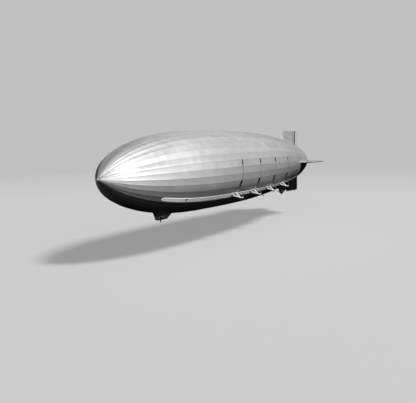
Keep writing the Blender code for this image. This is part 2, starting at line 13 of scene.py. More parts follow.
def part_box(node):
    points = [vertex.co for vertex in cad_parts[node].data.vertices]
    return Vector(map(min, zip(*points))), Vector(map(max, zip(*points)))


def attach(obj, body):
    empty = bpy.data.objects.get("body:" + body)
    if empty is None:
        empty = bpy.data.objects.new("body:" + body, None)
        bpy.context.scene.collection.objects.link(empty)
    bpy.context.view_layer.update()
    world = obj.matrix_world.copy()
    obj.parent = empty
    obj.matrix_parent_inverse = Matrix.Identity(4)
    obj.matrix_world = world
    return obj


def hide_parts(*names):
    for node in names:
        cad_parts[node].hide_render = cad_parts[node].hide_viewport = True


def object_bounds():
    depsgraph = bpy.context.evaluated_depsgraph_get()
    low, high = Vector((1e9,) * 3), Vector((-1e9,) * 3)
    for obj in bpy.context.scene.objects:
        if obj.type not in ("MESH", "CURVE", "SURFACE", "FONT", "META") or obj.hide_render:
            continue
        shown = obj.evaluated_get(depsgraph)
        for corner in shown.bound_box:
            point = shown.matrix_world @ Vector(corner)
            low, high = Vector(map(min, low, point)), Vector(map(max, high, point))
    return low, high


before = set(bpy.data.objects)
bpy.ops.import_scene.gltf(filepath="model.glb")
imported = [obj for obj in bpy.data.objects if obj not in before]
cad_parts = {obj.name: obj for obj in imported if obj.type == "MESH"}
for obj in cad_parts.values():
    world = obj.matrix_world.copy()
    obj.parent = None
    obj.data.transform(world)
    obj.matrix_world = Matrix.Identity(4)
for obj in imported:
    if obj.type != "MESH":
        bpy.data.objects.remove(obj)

CAD_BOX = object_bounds()
ROOT = "airframe"

# Hull form, as built: a full bow to the widest station, then a long tapering stern
LENGTH = 23.93
MAX_RADIUS = 2.025
WIDEST_STATION = 9.997
BOW_POWER, BOW_ROOT = 3.316, 0.644
# The bow is drawn in towards its tip: share at the tip, and the station where that ends
TIP_FINING, TIP_FINING_END = 0.35, 1.10
STERN_POWER, STERN_ROOT = 2.376, 0.712
MOORING_FACE = -0.04
NOSE_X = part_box("nose_cap")[1].x + MOORING_FACE
FACETS = 36
FACET_DEG = 360 / FACETS
WALL = 0.010
SIDE_SIGNS = (("port", 1), ("starboard", -1))
ENGINE_STATIONS = (9.05, 11.30, 13.55, 15.80)
ENGINE_FACET = -40.0

# Band: station and half width in degrees of its round front end, then one half width
BAND_THICK, SEAT = 0.003, 0.0003
BAND_TOP = 2 * SEAT + BAND_THICK
BAND_NOSE = ((2.73, 0.7), (2.75, 1.8), (2.80, 3.0), (2.88, 3.85), (2.97, 4.1))
BAND_END, BAND_EDGE = 19.80, 0.20
PORT_STATION, PORT_ANGLE, PORT_STRETCH = 4.40, -38.6, (2.3, 1.25, 1, 1)

# Outriggers, heads and propellers, as built
HEAD_AFT, HEAD_OUT, HEAD_DOWN = 0.06, 0.36, 0.16
# Legs: foot's distance aft of the engine, foot's angle, chord, thickness
LEGS = ((-0.40, -38.5, 0.055, 0.030), (0.00, -37.2, 0.080, 0.050), (-0.04, -43.0, 0.055, 0.030))
FOOT_PLATE = (-0.47, 0.09, 3.7, 0.008)
BOSS_RADIUS, BOSS_LENGTH = 0.030, 0.070
GEAR_RADIUS, GEAR_WIDTH, SHAFT_LENGTH = 0.036, 0.080, 0.125
HUB_RADIUS, HUB_LENGTH = 0.022, 0.050
HINGE_GAP, CLEAR = 0.0005, 0.005

# Tail, as built. Fins: distance from the hull's axis, leading edge station, half thickness
FIN_ROWS = ((0.90, 18.30, 0.130), (1.56, 18.50, 0.085), (1.61, 19.18, 0.080), (1.72, 19.34, 0.072),
            (2.08, 19.37, 0.046), (2.13, 19.46, 0.042))
LOWER_FIN_ROWS = ((0.90, 20.12, 0.120), (1.84, 20.12, 0.065), (2.00, 20.24, 0.050), (2.07, 20.34, 0.042))
FIN_END, FIN_END_HALF = 21.50, 0.040
# Fin section: share of the chord, share of the half thickness
FIN_SECTION = ((0.0, 0.0), (0.03, 0.42), (0.12, 0.78), (0.35, 1.0))
LOWER_FIN_SECTION = ((0.0, 1.0), (0.35, 1.0))
THICKEST = FIN_SECTION[-1][0]
# Rudder and elevator rows: distance from the hull's axis, trailing edge station
FLAP_ROWS = ((1.06, 22.08), (1.14, 22.25), (2.05, 22.25), (2.13, 22.17))
LOWER_FLAP_ROWS = ((1.06, 22.08), (1.14, 22.25), (2.01, 22.25), (2.09, 22.17))
FLAP_NOSE, FLAP_EDGE_HALF = 0.036, 0.005
FLAP_HINGE = FIN_END + HINGE_GAP + FLAP_NOSE
FLAP_BRACKETS = (1.20, 1.575, 1.95)
RIB_STEP = 0.15
STRIPE_EDGES = (21.77, 22.00)
# Tail station ahead of the lower fin: depth, front station, aft station, half width
TAIL_STATION_ROWS = ((1.24, 18.55, 20.115, 0.100), (1.66, 18.62, 20.115, 0.095), (1.84, 18.80, 20.08, 0.090),
                     (2.06, 18.98, 19.58, 0.075), (2.12, 19.06, 19.44, 0.055))

# Control car, as built: height, front station, aft station, half width
CAR_ROWS = ((-2.13, 4.12, 4.78, 0.095), (-2.08, 4.03, 4.98, 0.125), (-1.95, 3.98, 5.26, 0.125),
            (-1.60, 3.72, 5.50, 0.125))
CAR_FRONT_CURVE, CAR_REAR_CURVE, CAR_WALL, CAR_BOTTOM = 0.14, 0.34, 0.008, -2.13
WINDOW_BOTTOM, WINDOW_TOP = -2.035, -1.945
SIDE_WINDOWS = ((4.14, 4.235), (4.255, 4.350), (4.530, 4.625), (4.645, 4.740))
FRONT_WINDOWS_DEG = (-62, -21, 21, 62)
FRONT_WINDOW_WIDTH, FRONT_FRAME_DEG = 0.072, 18.0
# The car's two rails stop at the door
RAIL_LEVELS, RAIL_DOOR_STATIONS = (-2.062, -1.915), (4.365, 4.49)

# Hangar doors and castors, as built
HATCH_HINGE_Y = 0.500
HANGAR_FRONT, HANGAR_REAR = 6.80, 9.05
CASTOR_TRAIL = 0.020
WHEEL_HUB_HALF = 0.022

# Hull cover: frames, and how the cloth sags between the girders
FRAME_STEP = 0.5625
FIRST_FRAME = 9.05 - 16 * FRAME_STEP
SAG = 0.0030
ACROSS = 6
HULL_NODES = ("hull_bow", "hull_forward", "hull_hangar", "hull_middle", "hull_aft", "hull_stern",
              "hull_tail")

FORWARD, PORTWARDS, UP = Vector((1, 0, 0)), Vector((0, 1, 0)), Vector((0, 0, 1))
AFT = -FORWARD
# Least radius at the end of a round piece, and a distance too small to matter
THINNEST, TINY = 0.0002, 1e-6


def clamp(value, low, high):
    """Keeps a value between two limits."""
    return max(low, min(high, value))


def hull_radius(station, angle=0.0):
    """Gives the hull's corner radius at a station. Under the hangar its profile is straight."""
    if HANGAR_FRONT < station < HANGAR_REAR and math.sin(math.radians(angle)) < -0.90:
        share = (station - HANGAR_FRONT) / (HANGAR_REAR - HANGAR_FRONT)
        return hull_radius(HANGAR_FRONT) * (1 - share) + hull_radius(HANGAR_REAR) * share
    if station < WIDEST_STATION:
        ahead = 1 - clamp(station, 0, LENGTH) / WIDEST_STATION
        fining = TIP_FINING * max(0.0, 1 - station / TIP_FINING_END) ** 2
        return MAX_RADIUS * (1 - ahead ** BOW_POWER) ** BOW_ROOT * (1 - fining)
    behind = (station - WIDEST_STATION) / (LENGTH - WIDEST_STATION)
    return MAX_RADIUS * max(0.0, 1 - behind ** STERN_POWER) ** STERN_ROOT


def station_of(x):
    """Turns an X into a station."""
    return NOSE_X - x


def at(station, y, z):
    """Gives a point at a station."""
    return Vector((NOSE_X - station, y, z))


def on_hull(station, angle, height=0.0, side=1, sag=0.0):
    """Gives a point above a facet of the hull's cover."""
    middle = FACET_DEG * math.floor(angle / FACET_DEG + 0.5)
    off = math.radians(angle - middle)
    half = math.radians(FACET_DEG / 2)
    flat = (hull_radius(station, angle) + height - sag * (1 - (off / half) ** 2)) * math.cos(half)
    radius = flat / math.cos(off)
    turn = math.radians(angle)
    return at(station, side * radius * math.cos(turn), radius * math.sin(turn))


# Mesh helpers

def new_object(name, mesh):
    """Adds an object with that mesh to the scene."""
    obj = bpy.data.objects.new(name, mesh)
    bpy.context.scene.collection.objects.link(obj)
    return obj


def mesh_from(shape, name="shape"):
    """Turns a bmesh into a mesh."""
    mesh = bpy.data.meshes.new(name)
    shape.to_mesh(mesh)
    shape.free()
    return mesh


def loft(rows, closed=False):
    """Makes a mesh through closed rows of points; closed joins the last row to the first."""
    shape = bmesh.new()
    rings = [[shape.verts.new(point) for point in row] for row in rows]
    count = len(rows[0])
    following = rings[1:] + (rings[:1] if closed else [])
    for ring, after in zip(rings, following):
        for index in range(count):
            nearby = (index + 1) % count
            shape.faces.new((ring[index], ring[nearby], after[nearby], after[index]))
    if not closed:
        shape.faces.new(rings[0])
        shape.faces.new(rings[-1])
    bmesh.ops.recalc_face_normals(shape, faces=shape.faces)
    return mesh_from(shape)


def circle(count, start=0.0):
    """Gives evenly spaced turns around a circle, in radians."""
    return [math.radians(start) + 2 * math.pi * index / count for index in range(count)]


def oval(centre, first, second, count, start=0.0):
    """Gives points around an oval with a centre and two half axes."""
    return [centre + first * math.cos(turn) + second * math.sin(turn) for turn in circle(count, start)]


def frame_along(axis):
    """Gives two directions square to an axis."""
    axis = axis.normalized()
    other = UP if abs(axis.z) < 0.9 else FORWARD
    first = axis.cross(other).normalized()
    return first, axis.cross(first)


def spun(place, axis, profile, sides=24):
    """Makes a round piece about an axis from a profile of distance along it and radius."""
    place, axis = Vector(place), Vector(axis).normalized()
    first, second = frame_along(axis)
    rows = []
    for along, radius in profile:
        reach = max(radius, THINNEST)
        rows.append(oval(place + axis * along, first * reach, second * reach, sides))
    return loft(rows)


def pipe(points, radius, sides=6, closed=False):
    """Makes a round bar along points."""
    points = [Vector(point) for point in points]
    rows = []
    first = None
    for index, point in enumerate(points):
        before = points[index - 1] if index or closed else points[0]
        after = points[(index + 1) % len(points)] if index + 1 < len(points) or closed else points[-1]
        along = (after - before).normalized()
        first = frame_along(along)[0] if first is None else (first - along * first.dot(along)).normalized()
        rows.append(oval(point, first * radius, along.cross(first) * radius, sides))
    return loft(rows, closed)


def moved(mesh, place):
    """Moves a mesh by a matrix and keeps its faces outwards where the matrix mirrors it."""
    mesh.transform(place)
    if place.determinant() < 0:
        mesh.flip_normals()
    return mesh


def block(low, high, bevel=0.002, place=None):
    """Makes a box with rounded edges."""
    low, high = Vector(low), Vector(high)
    shape = bmesh.new()
    bmesh.ops.create_cube(shape, size=1)
    size = high - low
    bmesh.ops.scale(shape, vec=size, verts=shape.verts)
    bmesh.ops.translate(shape, vec=(low + high) / 2, verts=shape.verts)
    if bevel:
        bmesh.ops.bevel(shape, geom=list(shape.edges), offset=min(bevel, 0.45 * min(size)), segments=2,
                        affect="EDGES", profile=0.5)
    mesh = mesh_from(shape)
    return mesh if place is None else moved(mesh, place)


def spread(low, high, count):
    """Gives evenly spaced numbers from low to high."""
    return [low + (high - low) * index / (count - 1) for index in range(count)]


def between(table, value):
    """Reads a table of rows whose first column rises, in a straight line between rows."""
    value = clamp(value, table[0][0], table[-1][0])
    for low, high in zip(table, table[1:]):
        if value <= high[0]:
            share = (value - low[0]) / (high[0] - low[0])
            return [a + (b - a) * share for a, b in zip(low[1:], high[1:])]
    return list(table[-1][1:])


def slack(share):
    """Gives how far cloth is drawn in, from 0 at two supports to 1 midway between them."""
    share %= 1.0
    return (4 * share * (1 - share)) ** 0.5


class Piece:
    """Collects solids in one piece, each with its finish."""

    def __init__(self, name):
        self.name = name
        self.shape = bmesh.new()
        self.keys = []

    def add(self, key, *meshes):
        """Adds meshes with a finish."""
        for mesh in meshes:
            self.add_striped((key,), (), mesh)

    def add_striped(self, keys, edges, mesh):
        """Adds a mesh whose finish changes at each of some stations."""
        self.keys += [key for key in keys if key not in self.keys]
        for polygon in mesh.polygons:
            stripe = sum(station_of(polygon.center.x) > edge for edge in edges)
            polygon.material_index = self.keys.index(keys[stripe])
        self.shape.from_mesh(mesh)
        bpy.data.meshes.remove(mesh)

    def bolts(self, key, place, axis, ring, count, profile, start=0.0):
        """Adds a ring of six-sided heads: ring's radius, number, profile, angle of the first."""
        first = PORTWARDS if abs(axis.x) > 0.5 else FORWARD
        for spot in oval(place, first * ring, UP * ring, count, start):
            self.add(key, spun(spot, axis, profile, 6))

    def done(self, slot, body=ROOT, nodes=(), sharp=35):
        """Makes the object and lets it ride on its body."""
        mesh = mesh_from(self.shape, self.name)
        for key in self.keys:
            mesh.materials.append(MATERIALS[key])
        mark_sharp(mesh, sharp)
        obj = new_object(self.name, mesh)
        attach(obj, body)
        if nodes:
            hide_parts(*nodes)
        return obj


def mark_sharp(mesh, degrees):
    """Shades a mesh smooth with sharp edges over an angle."""
    mesh.shade_smooth()
    mesh.set_sharp_from_angle(angle=math.radians(degrees))


def cut(obj, *meshes):
    """Cuts closed meshes out of a piece."""
    for mesh in meshes:
        tool = new_object("tool", mesh)
        step = obj.modifiers.new("cut", "BOOLEAN")
        step.operation = "DIFFERENCE"
        step.object = tool
        view = bpy.context.evaluated_depsgraph_get()
        result = bpy.data.meshes.new_from_object(obj.evaluated_get(view))
        obj.modifiers.clear()
        obj.data = result
        bpy.data.objects.remove(tool, do_unlink=True)


def refinish(node, key):
    """Gives a CAD node one of the finishes."""
    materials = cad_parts[node].data.materials
    materials.clear()
    materials.append(MATERIALS[key])


# Finishes

class Nodes:
    """A short way to write the nodes of a tree."""

    def __init__(self, tree, place):
        self.tree = tree
        self.place = self.node("ShaderNodeTexCoord").outputs[place]

    def node(self, kind, **settings):
        """Adds a node with its settings."""
        node = self.tree.nodes.new(kind)
        for name, value in settings.items():
            setattr(node, name, value)
        return node

    def put(self, socket, value):
        """Links or sets a socket."""
        if isinstance(value, bpy.types.NodeSocket):
            self.tree.links.new(value, socket)
        else:
            socket.default_value = value

    def fill(self, node, *values):
        """Links or sets a node's first sockets."""
        for socket, value in zip(node.inputs, values):
            self.put(socket, value)
        return node.outputs[0]

    def maths(self, operation, *values):
        """Adds a maths node."""
        return self.fill(self.node("ShaderNodeMath", operation=operation), *values)

    def axes(self):
        """Splits the place into X, Y and Z."""
        node = self.node("ShaderNodeSeparateXYZ")
        self.fill(node, self.place)
        return node.outputs

    def vector(self, x, y, z):
        """Makes a vector of three values."""
        return self.fill(self.node("ShaderNodeCombineXYZ"), x, y, z)

    def along(self, axis):
        """Gives the place's reach along an axis."""
        node = self.node("ShaderNodeVectorMath", operation="DOT_PRODUCT")
        self.fill(node, self.place, Vector(axis).normalized())
        return node.outputs["Value"]

    def noise(self, scale, detail=3.0, stretch=None):
        """Adds a noise, which may be stretched."""
        where = self.place
        if stretch:
            mapping = self.node("ShaderNodeMapping")
            self.put(mapping.inputs["Vector"], where)
            mapping.inputs["Scale"].default_value = stretch
            where = mapping.outputs[0]
        node = self.node("ShaderNodeTexNoise")
        for name, value in (("Vector", where), ("Scale", scale), ("Detail", detail), ("Roughness", 0.55)):
            self.put(node.inputs[name], value)
        return node.outputs["Fac"]

    def random(self, where):
        """Adds a random value for each cell."""
        node = self.node("ShaderNodeTexWhiteNoise", noise_dimensions="3D")
        self.put(node.inputs["Vector"], where)
        return node.outputs["Value"]

    def ramp(self, value, low, high, first=0.0, last=1.0, kind="LINEAR"):
        """Maps a range of a value to another, clamped."""
        node = self.node("ShaderNodeMapRange", interpolation_type=kind)
        return self.fill(node, value, low, high, first, last)

    def mix(self, factor, one, two, kind="RGBA"):
        """Mixes two colours or values."""
        node = self.node("ShaderNodeMix", data_type=kind)
        for name, value in (("Factor", factor), ("A", one), ("B", two)):
            self.put(node.inputs[name], value)
        return node.outputs["Result"]

    def patches(self, reads, table):
        """Gives the largest of some products of ramps, each written as in COVER_PAINTED_LIGHT."""
        largest = 0.0
        for product in table:
            factor = 1.0
            for name, low, high, first, last in product:
                factor = self.maths("MULTIPLY", self.ramp(reads[name], low, high, first, last), factor)
            largest = self.maths("MAXIMUM", factor, largest)
        return largest


class Finish(Nodes):
    """A material and its nodes."""

    def __init__(self, name, colour, roughness, metallic):
        self.material = bpy.data.materials.new(name)
        self.material.use_nodes = True
        self.material.diffuse_color = colour
        super().__init__(self.material.node_tree, "Object")
        self.shader = self.tree.nodes["Principled BSDF"].inputs
        for socket, value in (("Base Color", colour), ("Roughness", roughness), ("Metallic", metallic)):
            self.shader[socket].default_value = value

    def done(self, colour=None, roughness=None, height=None, depth=0.001):
        """Links colour, roughness and bump to the shader."""
        if colour is not None:
            self.put(self.shader["Base Color"], colour)
        if roughness is not None:
            self.put(self.shader["Roughness"], roughness)
        if height is not None:
            bump = self.node("ShaderNodeBump")
            bump.inputs["Distance"].default_value = depth
            bump.inputs["Strength"].default_value = 0.6
            self.put(bump.inputs["Height"], height)
            self.put(self.shader["Normal"], bump.outputs[0])
        return self.material


def grey(value):
    """Gives a neutral colour."""
    return (value, value, value, 1)


# Places where the cover is mixed towards a light grey, as painted light, or towards a near-black, as painted
# shade.
# Each is a product of ramps: what it reads, two readings, and the values there. "up" is the angle above the
# horizontal.
COVER_PAINTED_LIGHT = (
    # Painted light: the forward flanks, the crown of the bow and the top of the nose
    (("up", -27, -18, 0, 0.5), ("up", 20, 12, 0, 1), ("station", 9.5, 6, 0, 1)),
    (("up", 62, 68, 0, 0.35), ("station", 1.5, 4, 0, 1), ("station", 12, 9, 0, 1)),
    (("station", 2, 0.5, 0, 0.5), ("up", 60, 70, 0, 1), ("up", 86, 78, 0, 1)),
)
COVER_PAINTED_SHADE = (
    # Painted shade: the belly, the lower flanks, and the underside of the stern where the horizontal fins'
    # shadow falls
    (("station", 1, 5, 0.35, 0.72), ("up", -45.6, -44.6, 1, 0)),
    (("station", 8, 14, 0, 0.97), ("up", -45.6, -44.6, 1, 0)),
    (("station", 11, 17.5, 0, 0.9), ("up", 14, -30, 0, 1)),
    (("station", 1.5, 8, 0, 1), ("up", -14, -28, 0, 0.45)),
    (("station", 18.6, 19.1, 0, 0.95), ("up", -3, -1, 1, 0)),
    # Painted shade: on the bow, dimming its highlight; on the crown of the stern; over the stern, deepening
    # aft
    (("station", 4.2, 1.5, 0, 0.72), ("up", -3, 20, 0, 1), ("up", 60, 44, 0, 1)),
    (("up", 42, 50, 0, 1), ("up", 70, 62, 0, 1), ("station", 11, 18, 0, 0.32)),
    (("station", 12, 19, 0, 0.22),),
)


def hull_cloth():
    """Doped cotton: panels between frames and girders, taped seams, faint streaks and a weave, with painted
    light on parts of the bow and flanks and painted shade on the belly, lower flanks, stern and the bow's
    highlight.
    """
    made = Finish("doped_cover", grey(0.60), 0.47, 0.89)
    x, y, z = made.axes()
    to_degrees = 180 / math.pi
    facets = made.maths("MULTIPLY", made.maths("ARCTAN2", z, y), to_degrees / FACET_DEG)
    around = made.maths("ADD", facets, 0.5)
    along = made.maths("DIVIDE", made.maths("SUBTRACT", NOSE_X - FIRST_FRAME, x), FRAME_STEP)
    facet = made.maths("FLOORED_MODULO", made.maths("FLOOR", around), float(FACETS))
    panel = made.random(made.vector(facet, made.maths("FLOOR", along), 0.0))
    strip = made.random(made.vector(facet, 7.0, 3.0))
    seams = []
    for share, low, high in ((along, 0.483, 0.492), (around, 0.470, 0.485)):
        off = made.maths("ABSOLUTE", made.maths("SUBTRACT", made.maths("FRACT", share), 0.5))
        seams.append(made.ramp(off, low, high))
    lines = made.maths("MAXIMUM", *seams)
    streaks = made.noise(1.6, 5.0, (0.20, 4.0, 4.0))
    tone = made.maths("MULTIPLY", panel, 0.10)
    for value, weight in ((streaks, 0.70), (made.noise(0.55, 4.0), 0.25), (strip, 0.30)):
        tone = made.maths("MULTIPLY_ADD", value, weight, tone)
    colour = made.mix(made.ramp(tone, 0.30, 1.05), grey(0.51), grey(0.67))
    colour = made.mix(made.maths("MULTIPLY", lines, 0.25), colour, grey(0.40))
    up = made.maths("MULTIPLY", made.maths("ARCTAN2", z, made.maths("ABSOLUTE", y)), to_degrees)
    reads = {"up": up, "station": made.maths("SUBTRACT", NOSE_X, x)}
    # Painted light: lighter grey on the forward flanks, the crown of the bow and the top of the nose
    colour = made.mix(made.patches(reads, COVER_PAINTED_LIGHT), colour, grey(0.90))
    # Painted shade: near-black on the belly, lower flanks, stern and under the fins, and a dimmed highlight
    # on the bow
    colour = made.mix(made.patches(reads, COVER_PAINTED_SHADE), colour, grey(0.03))
    roughness = made.ramp(made.noise(2.2, 4.0), 0.3, 0.7, 0.45, 0.49)
    weave = made.noise(900.0, 1.0)
    return made.done(colour, roughness, made.maths("MULTIPLY_ADD", weave, 0.15, lines), 0.0012)


def painted_cloth(name, dark, light, rough=0.5, metal=0.2, painted_shade_below=False):
    """Doped cloth over ribs, for the tail surfaces. It may have painted shade, near-black below the hull's
    axis.
    """
    made = Finish(name, grey(light), rough, metal)
    streaks = made.noise(2.5, 5.0, (0.5, 2.0, 2.0))
    tone = made.maths("MULTIPLY_ADD", streaks, 0.6, made.maths("MULTIPLY", made.noise(0.9), 0.4))
    colour = made.mix(made.ramp(tone, 0.3, 0.7), grey(dark), grey(light))
    if painted_shade_below:
        # Painted shade: undersides below the hull's axis go near-black
        colour = made.mix(made.ramp(made.axes()[2], 0.002, -0.010, 0.0, 0.92), colour, grey(0.03))
    roughness = made.ramp(streaks, 0.3, 0.7, rough - 0.05, rough + 0.08)
    return made.done(colour, roughness, made.noise(900.0, 1.0), 0.0004)


def metal(name, dark, light, rough, metallic=0.9, scale=14.0, specular=0.5):
    """Bare or painted metal with soft variation."""
    made = Finish(name, grey(light), rough, metallic)
    made.shader["Specular IOR Level"].default_value = specular
    cloud = made.noise(scale, 5.0)
    colour = made.mix(made.ramp(cloud, 0.35, 0.7), grey(dark), grey(light))
    roughness = made.ramp(cloud, 0.3, 0.7, rough - 0.08, rough + 0.10)
    return made.done(colour, roughness, made.noise(scale * 14, 2.0), 0.0003)


def band_paint():
    """Light paint of the band, with painted light at its front end and painted shade darkening it towards
    the stern.
    """
    made = Finish("band_paint", grey(0.84), 0.55, 0.0)
    cloud = made.noise(3.0, 5.0)
    station = made.maths("SUBTRACT", NOSE_X, made.axes()[0])
    colour = made.mix(made.ramp(cloud, 0.35, 0.7), grey(0.78), grey(0.88))
    # Painted light: the front end goes white
    colour = made.mix(made.ramp(station, 5.5, 3.8), colour, grey(1.0))
    # Painted shade: darker towards the stern
    colour = made.mix(made.ramp(station, 10.0, 18.0, 0.0, 0.85), colour, grey(0.15))
    return made.done(colour, made.ramp(cloud, 0.3, 0.7, 0.47, 0.65), made.noise(42.0, 2.0), 0.0003)


def glass(name, alpha):
    """Window glass with a slight ripple."""
    made = Finish(name, (0.05, 0.06, 0.07, 1), 0.08, 0.0)
    made.shader["IOR"].default_value = 1.45
    made.shader["Alpha"].default_value = alpha
    ripple = made.noise(30.0, 2.0)
    return made.done(None, made.ramp(ripple, 0.3, 0.7, 0.05, 0.12), ripple, 0.0004)


# Each grey is a darkest and a lightest value; then roughness, metallic, and what else differs
MATERIALS = {
    "cover": hull_cloth(),
    # Tail cover, with painted shade on the undersides of the horizontal fins and elevators
    "tail": painted_cloth("tail_cover_shade_below", 0.22, 0.29, 0.55, 0.60, True),
    # Near-black painted shade in place of silver: lower fin and rudder, tail station, control car, car door
    # and keel hatches, where the hull shades them
    "shade_painted_dark": painted_cloth("painted_shade_cover", 0.036, 0.062, 0.45, 0.80),
    "stripe_dark": painted_cloth("stripe_dark", 0.020, 0.035, 0.5, 0.0),
    "stripe_white": painted_cloth("stripe_white", 0.22, 0.28, 0.5, 0.0),
    "stripe_mid": painted_cloth("stripe_mid", 0.17, 0.23, 0.5, 0.0),
    "band": band_paint(),
    "panel_light": metal("panel_light", 0.46, 0.60, 0.45, 0.4, 9.0),
    "panel_grey": metal("panel_grey", 0.015, 0.035, 0.60, 0.0, 9.0, 0.2),
    # Near-black for the lower condenser cores, partly their own colour and partly painted shade, and for the
    # band's port pane
    "panel_dark": metal("panel_dark", 0.003, 0.008, 0.70, 0.0, 9.0, 0.1),
    "duct": metal("duct_cover", 0.31, 0.40, 0.47, 0.85, 9.0),
    "strut": metal("strut_paint", 0.30, 0.40, 0.45, 0.0, 12.0),
    "bright": metal("bright_metal", 0.62, 0.80, 0.30),
    "blade": metal("blade_metal", 0.03, 0.06, 0.40, 0.2, 20.0),
    "steel": metal("grey_metal", 0.22, 0.34, 0.38),
    "rubber": metal("rubber", 0.015, 0.030, 0.75, 0.0, 60.0),
    "inside": metal("inside_metal", 0.28, 0.40, 0.55, 0.4, 6.0),
    "glass": glass("window_glass", 0.45),
    "glass_dark": glass("dark_window_glass", 1.0),
}


# Hull cover

# Step between rows as a share of the radius, the least step, and the shares of a step within which
# a row moves to the next frame or to the section's end
ROW_STEP, LEAST_STEP, TO_FRAME, TO_END = 0.10, 0.02, 0.25, 0.3
# Degrees that keep a point at a girder on the facet above it, and within which an edge is a ridge
NUDGE, RIDGE_WITHIN = 1e-7, 0.1


def bay_share(station):
    """Gives how far along its bay between two frames a station lies, from 0 to 1."""
    return ((station - FIRST_FRAME) / FRAME_STEP) % 1.0


def skin_sag(station):
    """Gives how far the cloth is drawn in at a station, midway between two girders."""
    return SAG * min(1.0, hull_radius(station)) * slack(bay_share(station))


def cover_stations(front, rear):
    """Gives the rows of a hull section: every frame, and closer rows where the nose curves."""
    stations = [front]
    while stations[-1] < rear - TINY:
        here = stations[-1]
        step = clamp(ROW_STEP * hull_radius(here), LEAST_STEP, FRAME_STEP / 4)
        ahead = here + step
        next_frame = here + FRAME_STEP * (1 - bay_share(here + TINY))
        if ahead > next_frame - TO_FRAME * step:
            ahead = next_frame
        stations.append(min(ahead, rear))
        if rear - stations[-1] < TO_END * step:
            stations[-1] = rear
    return stations


def cover_row(station, height):
    """Gives a ring of the cover, with the cloth drawn in between the girders and frames."""
    angles = [FACET_DEG * (facet - 0.5 + step / ACROSS) for facet in range(FACETS) for step in range(ACROSS)]
    return [on_hull(station, angle + NUDGE, height, 1, skin_sag(station)) for angle in angles]


def build_cover(node):
    """Builds one section of the hull's cover as a 10 mm shell."""
    low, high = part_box(node)
    front, rear = station_of(high.x), station_of(low.x)
    rows = [cover_row(station, 0.0) for station in cover_stations(front, rear)]
    rows += [cover_row(station, -WALL) for station in (rear, (front + rear) / 2, front)]
    piece = Piece(node + "_cover")
    piece.add("cover", loft(rows, True))
    obj = piece.done("silver_cover", nodes=(node,), sharp=30)
    if node == "hull_hangar":
        door_low, door_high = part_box("belly_door_port")
        edge = HATCH_HINGE_Y + WALL / 2 + HINGE_GAP
        low = (door_low.x - CLEAR, -edge, door_low.z - 0.1)
        cut(obj, block(low, (door_high.x + CLEAR, edge, door_high.z + 0.1), 0))
        mark_sharp(obj.data, 30)
    sharpen_ridges(obj.data)


def sharpen_ridges(mesh):
    """Makes the cover's edges over the girders sharp, also where they run together at the nose."""
    sharp = mesh.attributes.get("sharp_edge") or mesh.attributes.new("sharp_edge", "BOOLEAN", "EDGE")
    places = [vertex.co for vertex in mesh.vertices]
    shift = FACET_DEG / 2 + RIDGE_WITHIN
    for edge in mesh.edges:
        one, two = (places[index] for index in edge.vertices)
        off = [(math.degrees(math.atan2(place.z, place.y)) + shift) % FACET_DEG for place in (one, two)]
        if max(off) < 2 * RIDGE_WITHIN and abs(one.x - two.x) > 0.001:
            sharp.data[edge.index].value = True


# Nose cone's rows, mooring spindle, tail cone with its rim and lamp: stations or places from the
# nose tip, and radii. The rim's second column is how far it stands proud.
CONE_STATIONS = (0.004, 0.008, 0.014, 0.022, 0.033, 0.047, 0.064, 0.082, 0.0997)
SPINDLE = ((MOORING_FACE, 0.0), (MOORING_FACE, 0.030), (MOORING_FACE + 0.002, 0.032), (-0.016, 0.032),
           (-0.014, 0.026), (-0.004, 0.026), (-0.002, 0.040), (0.006, 0.041), (0.010, 0.030))
SPINDLE_BOLT = ((-0.002, 0.0022), (0.0012, 0.0022), (0.002, 0.0012))
TAIL_CONE_START = 23.5503
TAIL_END = ((23.915, 0.062), (23.925, 0.035), (LENGTH, 0.004))
TAIL_RIM = ((23.742, 0.001), (23.744, 0.003), (23.752, 0.003), (23.754, 0.001))
TAIL_LAMP = ((23.88, 0.03), (23.905, 0.028), (23.922, 0.020), (23.929, 0.006))


def build_hull():
    """Builds the hull's cover, its nose cone with the spindle, and its tail cone."""
    for node in HULL_NODES:
        build_cover(node)
    tip = Vector((NOSE_X, 0, 0))
    nose = Piece("nose_cone")
    corners = [FACET_DEG * (facet + 0.5) for facet in range(FACETS)]
    nose.add("cover", loft([[on_hull(station, angle) for angle in corners] for station in CONE_STATIONS]))
    nose.add("bright", spun(tip, AFT, SPINDLE, 48))
    nose.bolts("steel", tip + FORWARD * 0.001, FORWARD, 0.036, 12, SPINDLE_BOLT)
    sharpen_ridges(nose.done("bright_metal", nodes=("nose_cap",)).data)
    tail = Piece("tail_cone_cover")
    profile = [(station, hull_radius(station)) for station in spread(TAIL_CONE_START, 23.90, 16)]
    tail.add("cover", spun(tip, AFT, [(TAIL_CONE_START, 0), *profile, *TAIL_END], 72))
    rim = [(station, hull_radius(station) + proud) for station, proud in TAIL_RIM]
    tail.add("bright", spun(tip, AFT, rim, 72))
    tail.add("glass", spun(tip, AFT, TAIL_LAMP, 24))
    tail.done("silver_cover", nodes=("tail_cone",))


def skin_frame(station, angle, side):
    """Gives a point of the skin and three directions there: aft, upwards along the skin, and out."""
    ahead, place, behind = (on_hull(station + off, angle, 0.0, side) for off in (-0.02, 0.0, 0.02))
    aft = (behind - ahead).normalized()
    middle = math.radians(FACET_DEG * math.floor(angle / FACET_DEG + 0.5))
    out = Vector((0, side * math.cos(middle), math.sin(middle)))
    out = (out - aft * out.dot(aft)).normalized()
    return place, aft, out.cross(aft) * side, out


def on_skin_matrix(station, angle, side):
    """Gives a matrix whose X runs aft, Y upwards along the skin and Z out of it."""
    place, aft, upward, out = skin_frame(station, angle, side)
    return Matrix.Translation(place) @ Matrix((aft, upward, out)).transposed().to_4x4()


